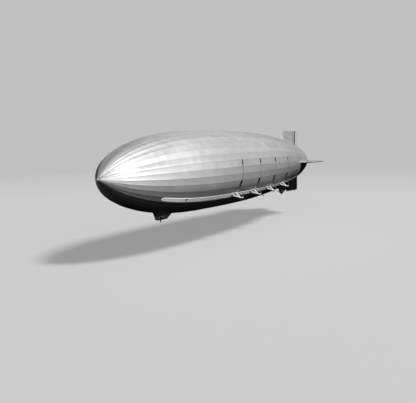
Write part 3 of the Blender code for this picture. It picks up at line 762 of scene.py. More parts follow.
def skin_strip(engine, half, top, bottom, low, high, side, aft=0.0):
    """Makes a flat strip that runs down the hull over its facets."""
    corners = [FACET_DEG * (number + 0.5) for number in range(8, -10, -1)]
    rows = []
    for angle in [top] + [corner for corner in corners if bottom + 0.05 < corner < top - 0.05] + [bottom]:
        under = [on_hull(engine + aft + off, angle, low, side) for off in (-half, 0, half)]
        over = [on_hull(engine + aft + off, angle, high, side) for off in (half, 0, -half)]
        rows.append(under + over)
    return loft(rows)


# Condensers from the top down: top angle, bottom angle, half length, height, finish. The lower cores'
# near-black is partly their own colour and partly painted shade.
CONDENSERS = (
    (14.5, 7.2, 0.060, 0.0118, "panel_grey"), (7.0, -15.2, 0.045, 0.0058, "duct"),
    (-15.8, -24.8, 0.100, 0.0138, "panel_dark"), (-25.0, -27.2, 0.045, 0.0058, "duct"),
    (-27.4, -29.6, 0.070, 0.0138, "panel_dark"), (-29.8, -35.5, 0.045, 0.0058, "panel_light"),
)
SLAT_STEP, CROSS_RIB = 0.42, 0.12
# Height at which edges, ribs and slats start, inside what they stand on
STARTS_AT = 0.001
# Half widths of a duct's and a core's edge, and how far a slat's end lies inside the core's
DUCT_EDGE, CORE_EDGE, SLAT_INSET = 0.003, 0.0025, 0.004
# Shares of a core's height: its base, and a slat's low and high edge; a slat's share of its step
CORE_BASE, SLAT_LOW, SLAT_HIGH, SLAT_WIDE = 0.55, 0.62, 0.96, 0.75


def add_duct(piece, key, engine, side, top, bottom, half, height):
    """Adds a flat covered duct with raised edges and a rib at every degree."""
    piece.add(key, skin_strip(engine, half, top + 0.2, bottom - 0.6, SEAT, height - 0.001, side))
    for edge in (-half + 2 * DUCT_EDGE, half - 2 * DUCT_EDGE):
        raised = skin_strip(engine, DUCT_EDGE, top + 0.15, bottom - 0.5, STARTS_AT, height, side, edge)
        piece.add(key, raised)
    wide = half - DUCT_EDGE
    for angle in range(-35, 8):
        if bottom < angle - 0.3 and angle < top:
            piece.add(key, skin_strip(engine, wide, angle, angle - CROSS_RIB, STARTS_AT, height, side))


def add_core(piece, key, engine, side, top, bottom, half, height):
    """Adds a louvred core: a base, a rim and sloping slats."""
    piece.add(key, skin_strip(engine, half, top, bottom, SEAT, height * CORE_BASE, side))
    for edge in (-half + CORE_EDGE, half - CORE_EDGE):
        piece.add(key, skin_strip(engine, CORE_EDGE, top, bottom, STARTS_AT, height, side, edge))
    for angle in (top, bottom + CROSS_RIB):
        piece.add(key, skin_strip(engine, half, angle, angle - CROSS_RIB, STARTS_AT, height, side))
    ends = (-half + SLAT_INSET, half - SLAT_INSET)
    for step in range(1, int((top - bottom) / SLAT_STEP)):
        angle = top - step * SLAT_STEP
        rows = []
        for turn, share in ((angle, SLAT_LOW), (angle - SLAT_STEP * SLAT_WIDE, SLAT_HIGH)):
            low = [on_hull(engine + off, turn, STARTS_AT, side) for off in ends]
            high = [on_hull(engine + off, turn, height * share, side) for off in reversed(ends)]
            rows.append(low + high)
        piece.add(key, loft(rows))


def build_condensers(side_name, side):
    """Builds a side's condensers: dark cores joined by covered ducts, above each engine."""
    for number, engine in enumerate(ENGINE_STATIONS, start=1):
        piece = Piece("condenser_%s_%d" % (side_name, number))
        for top, bottom, half, height, key in CONDENSERS:
            add = add_duct if height < 0.01 else add_core
            add(piece, key, engine, side, top, bottom, half, height)
        piece.done("light_cover")


# Band's port, in its own plane before it is stretched: height, radius
PORT_RIM = ((0.0, 0.034), (0.0065, 0.034), (0.0075, 0.0330), (0.0075, 0.0305), (0.005, 0.0300))
PORT_PANE = ((0.0, 0.0303), (0.0055, 0.0303), (0.0060, 0.02))
# Share of the CAD band's width that the drawn one takes, and the height of its underside
BAND_SHARE, BAND_UNDER = 0.998, -0.002


def build_band(side_name, side):
    """Builds a side's light band along the engines' facet, with its round front end and a port."""
    stations = [station for station, _ in BAND_NOSE] + cover_stations(BAND_NOSE[-1][0] + 0.05, BAND_END)
    rows = []
    for station in stations:
        half = between(BAND_NOSE, station)[0] * BAND_SHARE
        flat = [(off, SEAT + BAND_THICK) for off in spread(BAND_EDGE - half, half - BAND_EDGE, ACROSS + 1)]
        section = [(-half, 0.0), *flat, (half, 0.0), (half, BAND_UNDER), (-half, BAND_UNDER)]
        sag = skin_sag(station)
        rows.append([on_hull(station, ENGINE_FACET + off, height, side, sag) for off, height in section])
    band = Piece("band_" + side_name)
    band.add("band", loft(rows))
    place = on_skin_matrix(PORT_STATION, PORT_ANGLE, side) @ Matrix.Diagonal(PORT_STRETCH)
    for key, profile in (("steel", PORT_RIM), ("panel_dark", PORT_PANE)):
        band.add(key, moved(spun((0, 0, 0), UP, profile, 32), place))
    band.done("light_cover", nodes=(side_name + "_band_and_condensers",))


# Engines

# Leg's fairing: share of its length, growth. Boss, rivet and bolt: distance along, radius
LEG_SWELL = ((0.0, 1.5), (0.02, 1.42), (0.05, 1.18), (0.09, 1.04), (0.14, 1.0), (0.5, 1.0), (0.86, 0.97),
             (1.0, 0.92))
BOSS = ((0.0, 0.0), (0.0, 0.024), (0.006, 0.029), (0.052, 0.029), (0.054, BOSS_RADIUS),
        (BOSS_LENGTH, BOSS_RADIUS))
BOSS_BOLT = ((0, 0.0024), (0.0022, 0.0024), (0.003, 0.0016))
# Where the boss's bolts sit: distance along it, radius of their ring. Height of a leg's foot
BOSS_BOLT_FACE, BOSS_BOLT_RING, FOOT_HEIGHT = 0.0535, 0.0262, -0.004


def add_foot_plate(piece, engine, side):
    """Adds an outrigger's foot plate on the band, with two rows of rivets."""
    front, rear, half, thick = FOOT_PLATE
    low, high = BAND_TOP, BAND_TOP + thick
    rows = []
    for off in (front, front + 0.004, front + 0.15, 0.0, rear - 0.004, rear):
        trim = half * (0.92 if off in (front, rear) else 1.0)
        under = [on_hull(engine + off, ENGINE_FACET + trim * way, low, side) for way in (-1, 1)]
        over = [on_hull(engine + off, ENGINE_FACET + trim * way, high, side) for way in (0.97, 0, -0.97)]
        rows.append(under + over)
    piece.add("strut", loft(rows))
    rivet = ((high - 0.002, 0.0030), (high + 0.0012, 0.0028), (high + 0.0020, 0.0015))
    for off in spread(front + 0.02, rear - 0.02, 12):
        for way in (-0.9, 0.9):
            place, _, _, out = skin_frame(engine + off, ENGINE_FACET + half * way, side)
            piece.add("steel", spun(place, out, rivet, 8))


def add_leg(piece, foot, end, chord, thickness):
    """Adds a faired leg that swells to a cuff at its foot."""
    length = (end - foot).length
    along = (end - foot).normalized()
    chord_way = (FORWARD - along * along.x).normalized()
    thick_way = along.cross(chord_way)
    rows = []
    for share, grow in LEG_SWELL:
        row = []
        for turn in circle(20):
            ahead = math.cos(turn)
            wide = chord / 2 * ahead * (1.0 if ahead > 0 else 1.0 - 0.12 * ahead)
            deep = thickness / 2 * math.sin(turn) * (1 + 0.25 * ahead) / 1.05
            row.append(foot + along * (length * share) + (chord_way * wide + thick_way * deep) * grow)
        rows.append(row)
    piece.add("strut", loft(rows))


def build_outrigger(name, engine, side, head):
    """Builds an outrigger: foot plate, three faired legs with cuffs, and the boss for the head."""
    out = PORTWARDS * side
    boss_end = head - out * (GEAR_WIDTH / 2)
    boss_start = boss_end - out * BOSS_LENGTH
    piece = Piece(name + "_frame")
    add_foot_plate(piece, engine, side)
    for aft_by, angle, chord, thickness in LEGS:
        foot = on_hull(engine + aft_by, angle, FOOT_HEIGHT, side)
        add_leg(piece, foot, (boss_start + boss_end) / 2, chord, thickness)
    piece.add("strut", spun(boss_start, out, BOSS, 32))
    piece.bolts("steel", boss_start + out * BOSS_BOLT_FACE, -out, BOSS_BOLT_RING, 8, BOSS_BOLT, 22.5)
    piece.done("bright_metal", nodes=(name,))


# Head's drum ribs and cap, and its bell from the drum to the shaft's end: distance along, radius
DRUM_RIBS = (-0.030, -0.018, -0.006, 0.006, 0.018)
RIB_PROFILE = ((-0.003, 0.0335), (-0.002, 0.0358), (0.002, 0.0358), (0.003, 0.0335))
DRUM_CAP = ((-0.012, 0.0345), (-0.004, 0.033), (0.0, 0.026), (0.0, 0.0))
BELL = ((-0.012, 0.0), (-0.012, 0.0300), (0.030, 0.0300), (0.044, 0.0275), (0.060, 0.0215), (0.085, 0.0180),
        (0.116, 0.0170), (0.118, 0.0188), (SHAFT_LENGTH, 0.0188))
CAP_BOLT, CAP_BOLT_RING = ((-0.002, 0.0024), (-0.0002, 0.0024), (0.0004, 0.0014)), 0.0215


def build_gear_head(name, side, head):
    """Builds a swivelling head: a ribbed drum, a bell that tapers to the shaft and a cap with bolts."""
    out = PORTWARDS * side
    inner, outer = -(GEAR_WIDTH / 2 - HINGE_GAP), GEAR_WIDTH / 2
    drum = [(inner, 0.0), (inner, GEAR_RADIUS - 0.001)]
    drum += [(rib + along, radius) for rib in DRUM_RIBS for along, radius in RIB_PROFILE]
    drum += [(outer + along, radius) for along, radius in DRUM_CAP]
    piece = Piece(name + "_case")
    piece.add("strut", spun(head, out, drum, 40))
    piece.add("strut", spun(head, AFT, BELL, 32))
    piece.bolts("bright", head + out * (outer - 0.0005), out, CAP_BOLT_RING, 8, CAP_BOLT)
    piece.done("grey_metal", name, (name,))


# Blade rows: distance from the axis, chord, thickness, pitch in degrees
BLADE_ROWS = ((0.012, 0.026, 0.016, 58), (0.060, 0.040, 0.011, 44), (0.150, 0.046, 0.007, 26),
              (0.230, 0.034, 0.004, 18), (0.249, 0.014, 0.002, 16))
BLADE_ROOT, BLADE_TIP = 0.012, 0.2488
# The tip is an oval from TIP_FROM on: its middle and half length along the blade, and its chord
TIP_FROM, TIP_MIDDLE, TIP_LENGTH, TIP_CHORD = 0.235, 0.226, 0.0232, 0.0335
# Shares of a blade's thickness on its rounder and on its flatter face
ROUND_FACE, FLAT_FACE = 0.42, 0.25
CUFF = ((0.010, 0.0125), (0.030, 0.0125), (0.034, 0.0140), (0.040, 0.0140), (0.042, 0.0110))
HUB = ((-HUB_LENGTH / 2, 0.0), (-HUB_LENGTH / 2, 0.0195), (-0.020, HUB_RADIUS), (0.018, HUB_RADIUS),
       (0.022, 0.0205))
SPINNER_START, SPINNER_LENGTH, SPINNER_RADIUS, SPINNER_POWER = 0.022, 0.0425, 0.0208, 2.2


def blade_row(distance, turn):
    """Gives a blade's section at a distance from the axis: a twisted oval, rounded off at the tip."""
    chord, thick, pitch = between(BLADE_ROWS, distance)
    if distance > TIP_FROM:
        chord = TIP_CHORD * math.sqrt(max(0.03, 1 - ((distance - TIP_MIDDLE) / TIP_LENGTH) ** 2))
    twist = Matrix.Rotation(math.radians(pitch), 4, "Z")
    row = []
    for around in circle(16):
        ahead, out = math.cos(around), math.sin(around)
        deep = out * (ROUND_FACE if out > 0 else FLAT_FACE) * (1.15 - 0.35 * ahead)
        row.append(turn @ (twist @ Vector((thick * deep, -chord * 0.5 * ahead, 0)) + UP * distance))
    return row


def build_propeller(name, hub):
    """Builds a three-blade propeller about the X axis: twisted blades in cuffs, a hub and a spinner."""
    piece = Piece(name + "_blades")
    distances = spread(BLADE_ROOT, BLADE_TIP, 17)
    for around in circle(3):
        turn = Matrix.Rotation(around, 4, "X")
        piece.add("blade", loft([blade_row(distance, turn) for distance in distances]))
        piece.add("steel", spun((0, 0, 0), turn @ UP, CUFF, 20))
    nose = []
    for share in spread(0, 0.999, 12):
        radius = SPINNER_RADIUS * math.sqrt(1 - share ** SPINNER_POWER)
        nose.append((SPINNER_START + SPINNER_LENGTH * share, radius))
    piece.add("bright", spun((0, 0, 0), AFT, [*HUB, *nose], 32))
    bmesh.ops.translate(piece.shape, vec=hub, verts=piece.shape.verts)
    piece.done("bright_metal", name, (name,))


def build_engines(side_name, side):
    """Builds a side's outriggers, swivelling heads and propellers."""
    for number, engine in enumerate(ENGINE_STATIONS, start=1):
        tag = "_%s_%d" % (side_name, number)
        head = on_hull(engine, ENGINE_FACET, 0, side) + Vector((-HEAD_AFT, side * HEAD_OUT, -HEAD_DOWN))
        build_outrigger("outrigger" + tag, engine, side, head)
        build_gear_head("gear_head" + tag, side, head)
        build_propeller("propeller" + tag, head + AFT * (SHAFT_LENGTH + HINGE_GAP + HUB_LENGTH / 2))


# Tail

# Shares of a fin's chord that carry a row of points
FIN_SHARES = (0, 0.004, 0.012, 0.024, 0.045, 0.08, 0.12, 0.18, 0.25, 0.33, 0.42, 0.52, 0.62, 0.72, 0.82,
              0.91, 1)
BLUNT_FIN_SHARES = (0, 0.03, 0.08, 0.15, 0.25, 0.35, 0.48, 0.6, 0.72, 0.84, 0.93, 1)
FIN_ROOT, FIN_TIP_ROUND, FIN_DRAWN, FLAP_DRAWN = 1.02, 0.030, 0.0022, 0.0016
# Rows near the end of a fin's tip and of a flap's two ends, and the flap's columns as stations
FIN_TIP_ROWS, FLAP_ROOT_ROWS, FLAP_TIP_ROWS = (0.016, 0.006, 0.0), (0.0, 0.008, 0.03), (0.014, 0.004, 0.0)
FLAP_COLUMNS = (FLAP_HINGE + 0.04, FLAP_HINGE + 0.12, *STRIPE_EDGES, 22.08, 22.16)
FLAP_END_ROUND = 0.03
# Hinge lugs: reach aft and ahead of the fin's end, place off its middle, half thickness, half height
LUG_AFT, LUG_AHEAD, LUG_Y, LUG_THICK, LUG_HIGH = 0.020, 0.060, 0.0375, 0.0025, 0.006


def shaped_share(table, share):
    """Reads a fin section: share of the half thickness at a share of the chord, rounded at the nose."""
    if share < table[1][0]:
        return table[1][1] * math.sqrt(max(0.0, share / table[1][0])) if table[0][1] == 0 else 1.0
    return between(table, share)[0]


def build_fin(name, degrees, table, section, finish):
    """Builds a fin: cloth drawn in a little between its ribs, a round tip, and its hinge lugs."""
    turn = Matrix.Rotation(math.radians(degrees), 4, "X")
    tip = table[-1][0]
    round_from = tip - FIN_TIP_ROUND
    distances = [FIN_ROOT]
    while distances[-1] < tip - 0.05:
        distances.append(distances[-1] + RIB_STEP / 4)
    distances = distances[:-1] + [round_from] + [tip - row for row in FIN_TIP_ROWS]
    rows = []
    for distance in distances:
        front, half = between(table, distance)
        thin = math.sqrt(max(0.04, 1 - (max(0.0, distance - round_from) / 0.031) ** 2))
        drawn = FIN_DRAWN * slack(distance / RIB_STEP)
        side = []
        for share in BLUNT_FIN_SHARES if section[0][1] else FIN_SHARES:
            thick = half * shaped_share(section, min(share, THICKEST))
            if share > THICKEST:
                thick = half + (min(half, FIN_END_HALF) - half) * (share - THICKEST) / (1 - THICKEST)
            dip = drawn * clamp(6 * share, 0, 1) * clamp(12 * (1 - share), 0, 1)
            side.append((front + (FIN_END - front) * share, max(0.0, thick * thin - dip)))
        other = [(station, -thick) for station, thick in reversed(side) if thick]
        rows.append([turn @ at(station, -thick, distance) for station, thick in side + other])
    piece = Piece(name + "_cover")
    piece.add(finish, loft(rows))
    for distance in FLAP_BRACKETS:
        for way in (-1, 1):
            low = at(FIN_END + LUG_AFT, way * LUG_Y - LUG_THICK, distance - LUG_HIGH)
            high = at(FIN_END - LUG_AHEAD, way * LUG_Y + LUG_THICK, distance + LUG_HIGH)
            piece.add("steel", block(low, high, 0.0015, turn))
    piece.done("silver_cover", nodes=(name,), sharp=30)


def build_flap(name, degrees, table, striped, finish):
    """Builds a rudder or elevator with its round nose, its ribs and a rudder's upright stripes."""
    turn = Matrix.Rotation(math.radians(degrees), 4, "X")
    low, tip = table[0][0], table[-1][0]
    distances = [low + row for row in FLAP_ROOT_ROWS] + spread(low + 0.08, tip - FLAP_END_ROUND, 24)
    distances += [tip - row for row in FLAP_TIP_ROWS]
    nose = [math.radians(value) for value in range(-90, 91, 10)]
    round_nose = [(FLAP_HINGE - FLAP_NOSE * math.cos(value), -FLAP_NOSE * math.sin(value)) for value in nose]
    rows = []
    for distance in distances:
        rear = between(table, distance)[0]
        from_end = min(distance - low, tip - distance)
        thin = math.sqrt(max(0.05, 1 - (1 - clamp(from_end / FLAP_END_ROUND, 0, 1)) ** 2))
        dip = FLAP_DRAWN * slack((distance - low) / RIB_STEP)
        stations = [value for value in FLAP_COLUMNS if value < rear - 0.01] + [rear]
        while len(stations) < 7:
            stations.insert(-1, (stations[-2] + stations[-1]) / 2)
        side = []
        for station in stations:
            share = (station - FLAP_HINGE) / (rear - FLAP_HINGE)
            thick = FLAP_NOSE + (FLAP_EDGE_HALF - FLAP_NOSE) * share
            side.append((station, thick - dip * clamp(8 * share, 0, 1) * clamp(10 * (1 - share), 0, 1)))
        outline = round_nose + [(station, -thick) for station, thick in side] + side[::-1]
        rows.append([turn @ at(station, thick * thin, distance) for station, thick in outline])
    piece = Piece(name + "_cover")
    if striped:
        piece.add_striped(("stripe_dark", "stripe_white", "stripe_mid"), STRIPE_EDGES, loft(rows))
    else:
        piece.add(finish, loft(rows))
    piece.done("dark_blue" if striped else "silver_cover", name, (name,), sharp=40)


# Tail station's section: share of the length, share of the half width
TAIL_STATION_SECTION = ((0.0, 0.20), (0.012, 0.34), (0.035, 0.50), (0.08, 0.70), (0.15, 0.865),
                        (0.22, 0.955), (0.30, 1.0), (0.45, 0.995), (0.62, 0.975), (0.80, 0.95),
                        (0.90, 0.81), (0.96, 0.70), (1.0, 0.62))
# Its lowest rows, drawn in round the bottom: depth, share of the half width
TAIL_STATION_BOTTOM = ((2.104, 0.97), (2.114, 0.93), (2.12, 0.86))
TAIL_WINDOWS, TAIL_WINDOW_Z = (19.06, 19.20, 19.34, 19.48), -1.95
# Frame and glass of its windows: finish, half size, distance of the middle out from the keel, bevel
TAIL_WINDOW_PARTS = (("panel_light", (0.045, 0.004, 0.035), 0.0827, 0.003),
                     ("glass_dark", (0.037, 0.0044, 0.027), 0.0831, 0.002))


def build_tail_station():
    """Builds the tail station under the hull, with its small windows."""
    rows = []
    for depth, drawn in [(depth, 1.0) for depth in spread(1.24, 2.09, 18)] + list(TAIL_STATION_BOTTOM):
        front, rear, half = between(TAIL_STATION_ROWS, depth)
        half *= drawn
        side = [(front + (rear - front) * along, half * wide) for along, wide in TAIL_STATION_SECTION]
        outline = side + [(station, -wide) for station, wide in reversed(side)]
        rows.append([at(station, wide, -depth) for station, wide in outline])
    piece = Piece("tail_station_cover")
    # Painted shade: the station's cover is near-black under the hull
    piece.add("shade_painted_dark", loft(rows))
    for side in (-1, 1):
        for station in TAIL_WINDOWS:
            for key, half, out, bevel in TAIL_WINDOW_PARTS:
                place = Matrix.Translation(at(station, side * out, TAIL_WINDOW_Z))
                piece.add(key, block(-Vector(half), half, bevel, place))
    piece.done("silver_cover", nodes=("tail_station",), sharp=30)


def build_tail():
    """Builds the fins, the rudders and elevators, and the tail station."""
    # Name of the fin, turn about the hull's axis, rows, section, name of its flap, flap's rows
    fins = (("fin_upper", 0, FIN_ROWS, FIN_SECTION, "rudder_upper", FLAP_ROWS),
            ("fin_port", -90, FIN_ROWS, FIN_SECTION, "elevator_port", FLAP_ROWS),
            ("fin_lower", 180, LOWER_FIN_ROWS, LOWER_FIN_SECTION, "rudder_lower", LOWER_FLAP_ROWS),
            ("fin_starboard", 90, FIN_ROWS, FIN_SECTION, "elevator_starboard", FLAP_ROWS))
    for name, degrees, rows, section, flap, flap_rows in fins:
        # Painted shade: the lower fin and its rudder are near-black where the hull shades them
        finish = "shade_painted_dark" if name == "fin_lower" else "tail"
        build_fin(name, degrees, rows, section, finish)
        build_flap(flap, degrees, flap_rows, flap == "rudder_upper", finish)
    build_tail_station()


# Control car

def car_row(height, inset, step=6):
    """Gives the control car's outline at a height, moved in by an inset."""
    bottom, above = CAR_ROWS[0], CAR_ROWS[1]
    if height < above[0]:
        share = math.sqrt(max(0.0, 1 - ((above[0] - height) / (above[0] - bottom[0])) ** 2))
        front, rear, half = (low + (high - low) * share for low, high in zip(bottom[1:], above[1:]))
    else:
        front, rear, half = between(CAR_ROWS, height)
    outline = []
    ends = ((front + CAR_FRONT_CURVE, CAR_FRONT_CURVE, -1), (rear - CAR_REAR_CURVE, CAR_REAR_CURVE, 1))
    for middle, curve, way in ends:
        for degrees in range(90 * way, -91 * way, -step * way):
            turn = math.radians(degrees)
            station = middle + way * (curve - inset) * math.cos(turn)
            outline.append(at(station, (half - inset) * math.sin(turn), height))
    return outline


def car_front_point(degrees, height, proud=0.0):
    """Gives a point on the car's round front: degrees from straight ahead, towards port."""
    front, _, half = between(CAR_ROWS, height)
    turn = math.radians(degrees)
    station = front + CAR_FRONT_CURVE - (CAR_FRONT_CURVE + proud) * math.cos(turn)
    return at(station, (half + proud) * math.sin(turn), height)


def rounded_corners(low_a, high_a, low_b, high_b, round_b, round_a=None):
    """Gives points around a rectangle with rounded corners, in two coordinates."""
    round_a = round_b if round_a is None else round_a
    points = []
    corners = ((high_a - round_a, high_b - round_b, 0), (low_a + round_a, high_b - round_b, 90),
               (low_a + round_a, low_b + round_b, 180), (high_a - round_a, low_b + round_b, 270))
    for a, b, start in corners:
        for degrees in spread(start, start + 90, 5):
            turn = math.radians(degrees)
            points.append((a + round_a * math.cos(turn), b + round_b * math.sin(turn)))
    return points


# Heights of the car's rows where its bottom curves
CAR_BOTTOM_ROWS = (CAR_BOTTOM, -2.127, -2.120, -2.108, -2.094)
# How far the window trim stands proud, its radius and the rails'; the windows' round corners
TRIM_PROUD, TRIM_RADIUS, RAIL_RADIUS, WINDOW_ROUND = 0.0005, 0.0032, 0.0022, 0.010
# Handrails: end stations, place off the middle, height
HANDRAIL_STATIONS, HANDRAIL_Y, HANDRAIL_Z = (4.19, 4.61), 0.1295, -2.095


def build_car_shell():
    """Builds the control car's shell, with its windows and its doorway cut."""
    above = [row[0] for row in CAR_ROWS[1:]]
    rows = [car_row(height, 0) for height in (*CAR_BOTTOM_ROWS, *above)]
    rows += [car_row(height, CAR_WALL) for height in (*reversed(above), CAR_BOTTOM + CAR_WALL)]
    car = Piece("control_car_shell")
    # Painted shade: the shell is near-black under the hull
    car.add("shade_painted_dark", loft(rows))
    obj = car.done("silver_cover", nodes=("control_car",), sharp=30)
    tools = []
    for front, rear in SIDE_WINDOWS:
        tools.append(block(at(rear, -0.3, WINDOW_BOTTOM), at(front, 0.3, WINDOW_TOP), 0.008))
    middle = Matrix.Translation(at(CAR_ROWS[2][1] + CAR_FRONT_CURVE, 0, 0))
    half = FRONT_WINDOW_WIDTH / 2
    for degrees in FRONT_WINDOWS_DEG:
        turn = middle @ Matrix.Rotation(math.radians(degrees), 4, "Z")
        tools.append(block((0.02, -half, WINDOW_BOTTOM), (0.3, half, WINDOW_TOP), 0.008, turn))
    low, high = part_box("car_door")
    high = (high.x + HINGE_GAP, high.y + 0.03, high.z + CLEAR)
    tools.append(block((low.x - CLEAR, low.y - 0.03, low.z - CLEAR), high, 0))
    cut(obj, *tools)
    mark_sharp(obj.data, 30)


def add_window_frames(trim):
    """Adds the frames around the control car's windows."""
    for side in (-1, 1):
        for front, rear in SIDE_WINDOWS:
            corners = rounded_corners(NOSE_X - rear, NOSE_X - front, WINDOW_BOTTOM, WINDOW_TOP, WINDOW_ROUND)
            corners = [(x, side * (CAR_ROWS[1][3] + TRIM_PROUD), z) for x, z in corners]
            trim.add("panel_light", pipe(corners, TRIM_RADIUS, 8, True))
    for degrees in FRONT_WINDOWS_DEG:
        low, high = degrees - FRONT_FRAME_DEG, degrees + FRONT_FRAME_DEG
        corners = rounded_corners(low, high, WINDOW_BOTTOM, WINDOW_TOP, WINDOW_ROUND, 4.0)
        corners = [car_front_point(turn, z, TRIM_PROUD) for turn, z in corners]
        trim.add("panel_light", pipe(corners, TRIM_RADIUS, 8, True))


def add_car_rails(trim):
    """Adds the rails around the control car, which stop at the door, and its handrails."""
    for level in RAIL_LEVELS:
        bow = [car_front_point(turn, level, 0.0004) for turn in spread(-90, 90, 24)]
        stern = car_row(level, -0.0004)
        stern = stern[len(stern) // 2:]
        for rail, station in zip((bow, stern), RAIL_DOOR_STATIONS):
            first, last = (at(station, rail[index].y, level) for index in (0, -1))
            trim.add("panel_light", pipe([first, *rail, last], RAIL_RADIUS))
    for way in (-1, 1):
        posts = [at(station, way * HANDRAIL_Y, HANDRAIL_Z) for station in spread(*HANDRAIL_STATIONS, 4)]
        trim.add("bright", pipe([posts[0], posts[-1]], RAIL_RADIUS))
        for x, y, z in posts:
            trim.add("bright", pipe([(x, way * 0.122, z + 0.004), (x, y, z)], 0.0018))


# What stands on the car's floor: front station, aft station, two Y, top above the floor, bevel
CAR_FURNITURE = ((4.16, 4.86, -0.105, 0.105, 0.004, 0.001), (4.125, 4.175, -0.070, 0.070, 0.075, 0.006),
                 (4.62, 4.80, -0.100, -0.055, 0.045, 0.006))
WHEEL_RIM = 0.022


def add_cabin(trim):
    """Adds the car's floor, console, seat and two control wheels."""
    floor = CAR_BOTTOM + CAR_WALL + 0.002
    for front, rear, low_y, high_y, top, bevel in CAR_FURNITURE:
        trim.add("inside", block(at(rear, low_y, floor), at(front, high_y, floor + top), bevel))
    for y in (-0.035, 0.035):
        hub = at(4.205, y, floor + 0.062)
        rim = oval(hub, PORTWARDS * WHEEL_RIM, UP * WHEEL_RIM, 20)
        trim.add("bright", pipe(rim, 0.0022, 6, True), pipe([hub, hub + FORWARD * 0.030], 0.003, 8))


def build_car():
    """Builds the control car: shell, trim, cabin, glazing and door."""
    build_car_shell()
    trim = Piece("control_car_trim")
    add_window_frames(trim)
    add_car_rails(trim)
    add_cabin(trim)
    trim.done("silver_cover")
    refinish("car_glazing", "glass")
    build_car_door()


# Door's handle: distance ahead of its free edge, distance out of its face
HANDLE, HANDLE_Z = ((0.012, -0.001), (0.012, 0.0045), (0.034, 0.0045)), -2.052


def build_car_door():
    """Builds the car's door: a panel with a window in its frame, a handle and two hinge barrels."""
    low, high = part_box("car_door")
    door = Piece("car_door_leaf")
    edge_x = high.x - CAR_WALL / 2
    mid_y = (low.y + high.y) / 2
    # Painted shade: the door is near-black like the shell
    door.add("shade_painted_dark", block((low.x, low.y + 0.0008, low.z), (edge_x, high.y - 0.0008, high.z), 0.0015))
    door.add("shade_painted_dark", spun((edge_x, mid_y, low.z), UP, ((0, 0.0036), (high.z - low.z, 0.0036)), 16))
    barrel = ((0, 0.0030), (0.001, 0.0039), (0.024, 0.0039), (0.025, 0.0030))
    for z in (low.z + 0.030, high.z - 0.055):
        door.add("bright", spun((edge_x, mid_y, z), UP, barrel, 16))
    bottom, top = WINDOW_BOTTOM + 0.004, WINDOW_TOP - 0.004
    corners = rounded_corners(low.x + 0.013, edge_x - 0.010, bottom, top, 0.008)
    door.add("panel_light", pipe([(x, high.y - 0.0004, z) for x, z in corners], 0.0024, 8, True))
    door.add("glass_dark", block((low.x + 0.014, high.y - 0.003, bottom + 0.001),
                                 (edge_x - 0.011, high.y - 0.0002, top - 0.001), 0.001))
    handle = [(low.x + ahead, high.y + out, HANDLE_Z) for ahead, out in HANDLE]
    door.add("bright", pipe(handle, 0.0016, 8))
    door.done("silver_cover", "car_door", ("car_door",), sharp=30)


# Hangar bay, belly doors and castors

def leaf_strip(stations, side, angles, top, bottom):
    """Makes a strip of a belly door between two heights, without sag."""
    rows = []
    for station in stations:
        skin = [on_hull(station, angle, top, side) for angle in angles]
        lining = [on_hull(station, angle, bottom, side) for angle in angles]
        rows.append(skin + lining[::-1])
    return loft(rows)


# One knuckle of a belly door's hinge: distance along, radius. Radius at the hinge's ends
BARREL = ((0.001, 0.0049), (0.058, 0.0049), (0.059, 0.0040), (0.062, 0.0040))
BARREL_END = 0.0046
# Heights of the door's lining, and of the top and bottom of its ribs and its stringers
LEAF_LINING, STIFF_TOP, RIB_UNDER, STRINGER_UNDER = -0.003, -0.0025, 0.0004 - WALL, 0.0002 - WALL


def build_belly_door(side_name, side):
    """Builds a belly door: its skin, its stiffeners inside and the hinge barrel along its outer edge."""
    node = "belly_door_" + side_name
    low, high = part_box(node)
    front, rear = station_of(high.x), station_of(low.x)
    half_facet = math.cos(math.radians(FACET_DEG / 2))
    radius = hull_radius((front + rear) / 2, -90) * half_facet
    near_deg = -90 + math.degrees(math.atan2(0.0028, radius))
    far_deg = -90 + math.degrees(math.atan2(HATCH_HINGE_Y - 0.0005, radius * 0.972))
    angles = [near_deg, -88, -86, -85.001, -84.999, -83, -80.5, -78, far_deg]
    piece = Piece(node + "_skin")
    piece.add("cover", leaf_strip(spread(front, rear, 15), side, angles, 0.0, LEAF_LINING))
    for station in spread(front + 0.012, rear - 0.012, 8):
        rib = (station - 0.005, station + 0.005)
        piece.add("inside", leaf_strip(rib, side, angles, STIFF_TOP, RIB_UNDER))
    ribs_end = (front + 0.004, rear - 0.004)
    for angle in (near_deg + 0.25, -85.0, -80.0):
        edges = (angle - 0.16, angle + 0.16)
        piece.add("inside", leaf_strip(ribs_end, side, edges, STIFF_TOP, STRINGER_UNDER))
    ends = []
    facet = math.radians(-80)
    for station in (front, rear):
        flat = hull_radius(station, -80) * half_facet - WALL / 2
        height = (flat - HATCH_HINGE_Y * math.cos(facet)) / math.sin(facet)
        ends.append(at(station, side * HATCH_HINGE_Y, height))
    length = (ends[1] - ends[0]).length
    barrel = [(0.0, BARREL_END)]
    for start in spread(0.0, length - 0.060, 17):
        barrel += [(start + along, radius) for along, radius in BARREL]
    barrel = [pair for pair in barrel if pair[0] < length - 0.003] + [(length, BARREL_END)]
    piece.add("inside", spun(ends[0], ends[1] - ends[0], barrel, 16))
    piece.done("silver_cover", node, (node,), sharp=25)


# Bay: thickness of its wall, frames' half width and lower end, their depth at the walls and at the
# top, and the rails' Y, half width and depth
BAY_WALL, BAY_FRAME_HALF, BAY_FRAME_END = 0.0085, 0.008, -1.87
BAY_FRAME_SIDE, BAY_FRAME_TOP = 0.014, 0.016
BAY_RAILS, BAY_RAIL_HALF, BAY_RAIL_DEEP = (-0.30, 0.0, 0.30), 0.012, 0.018


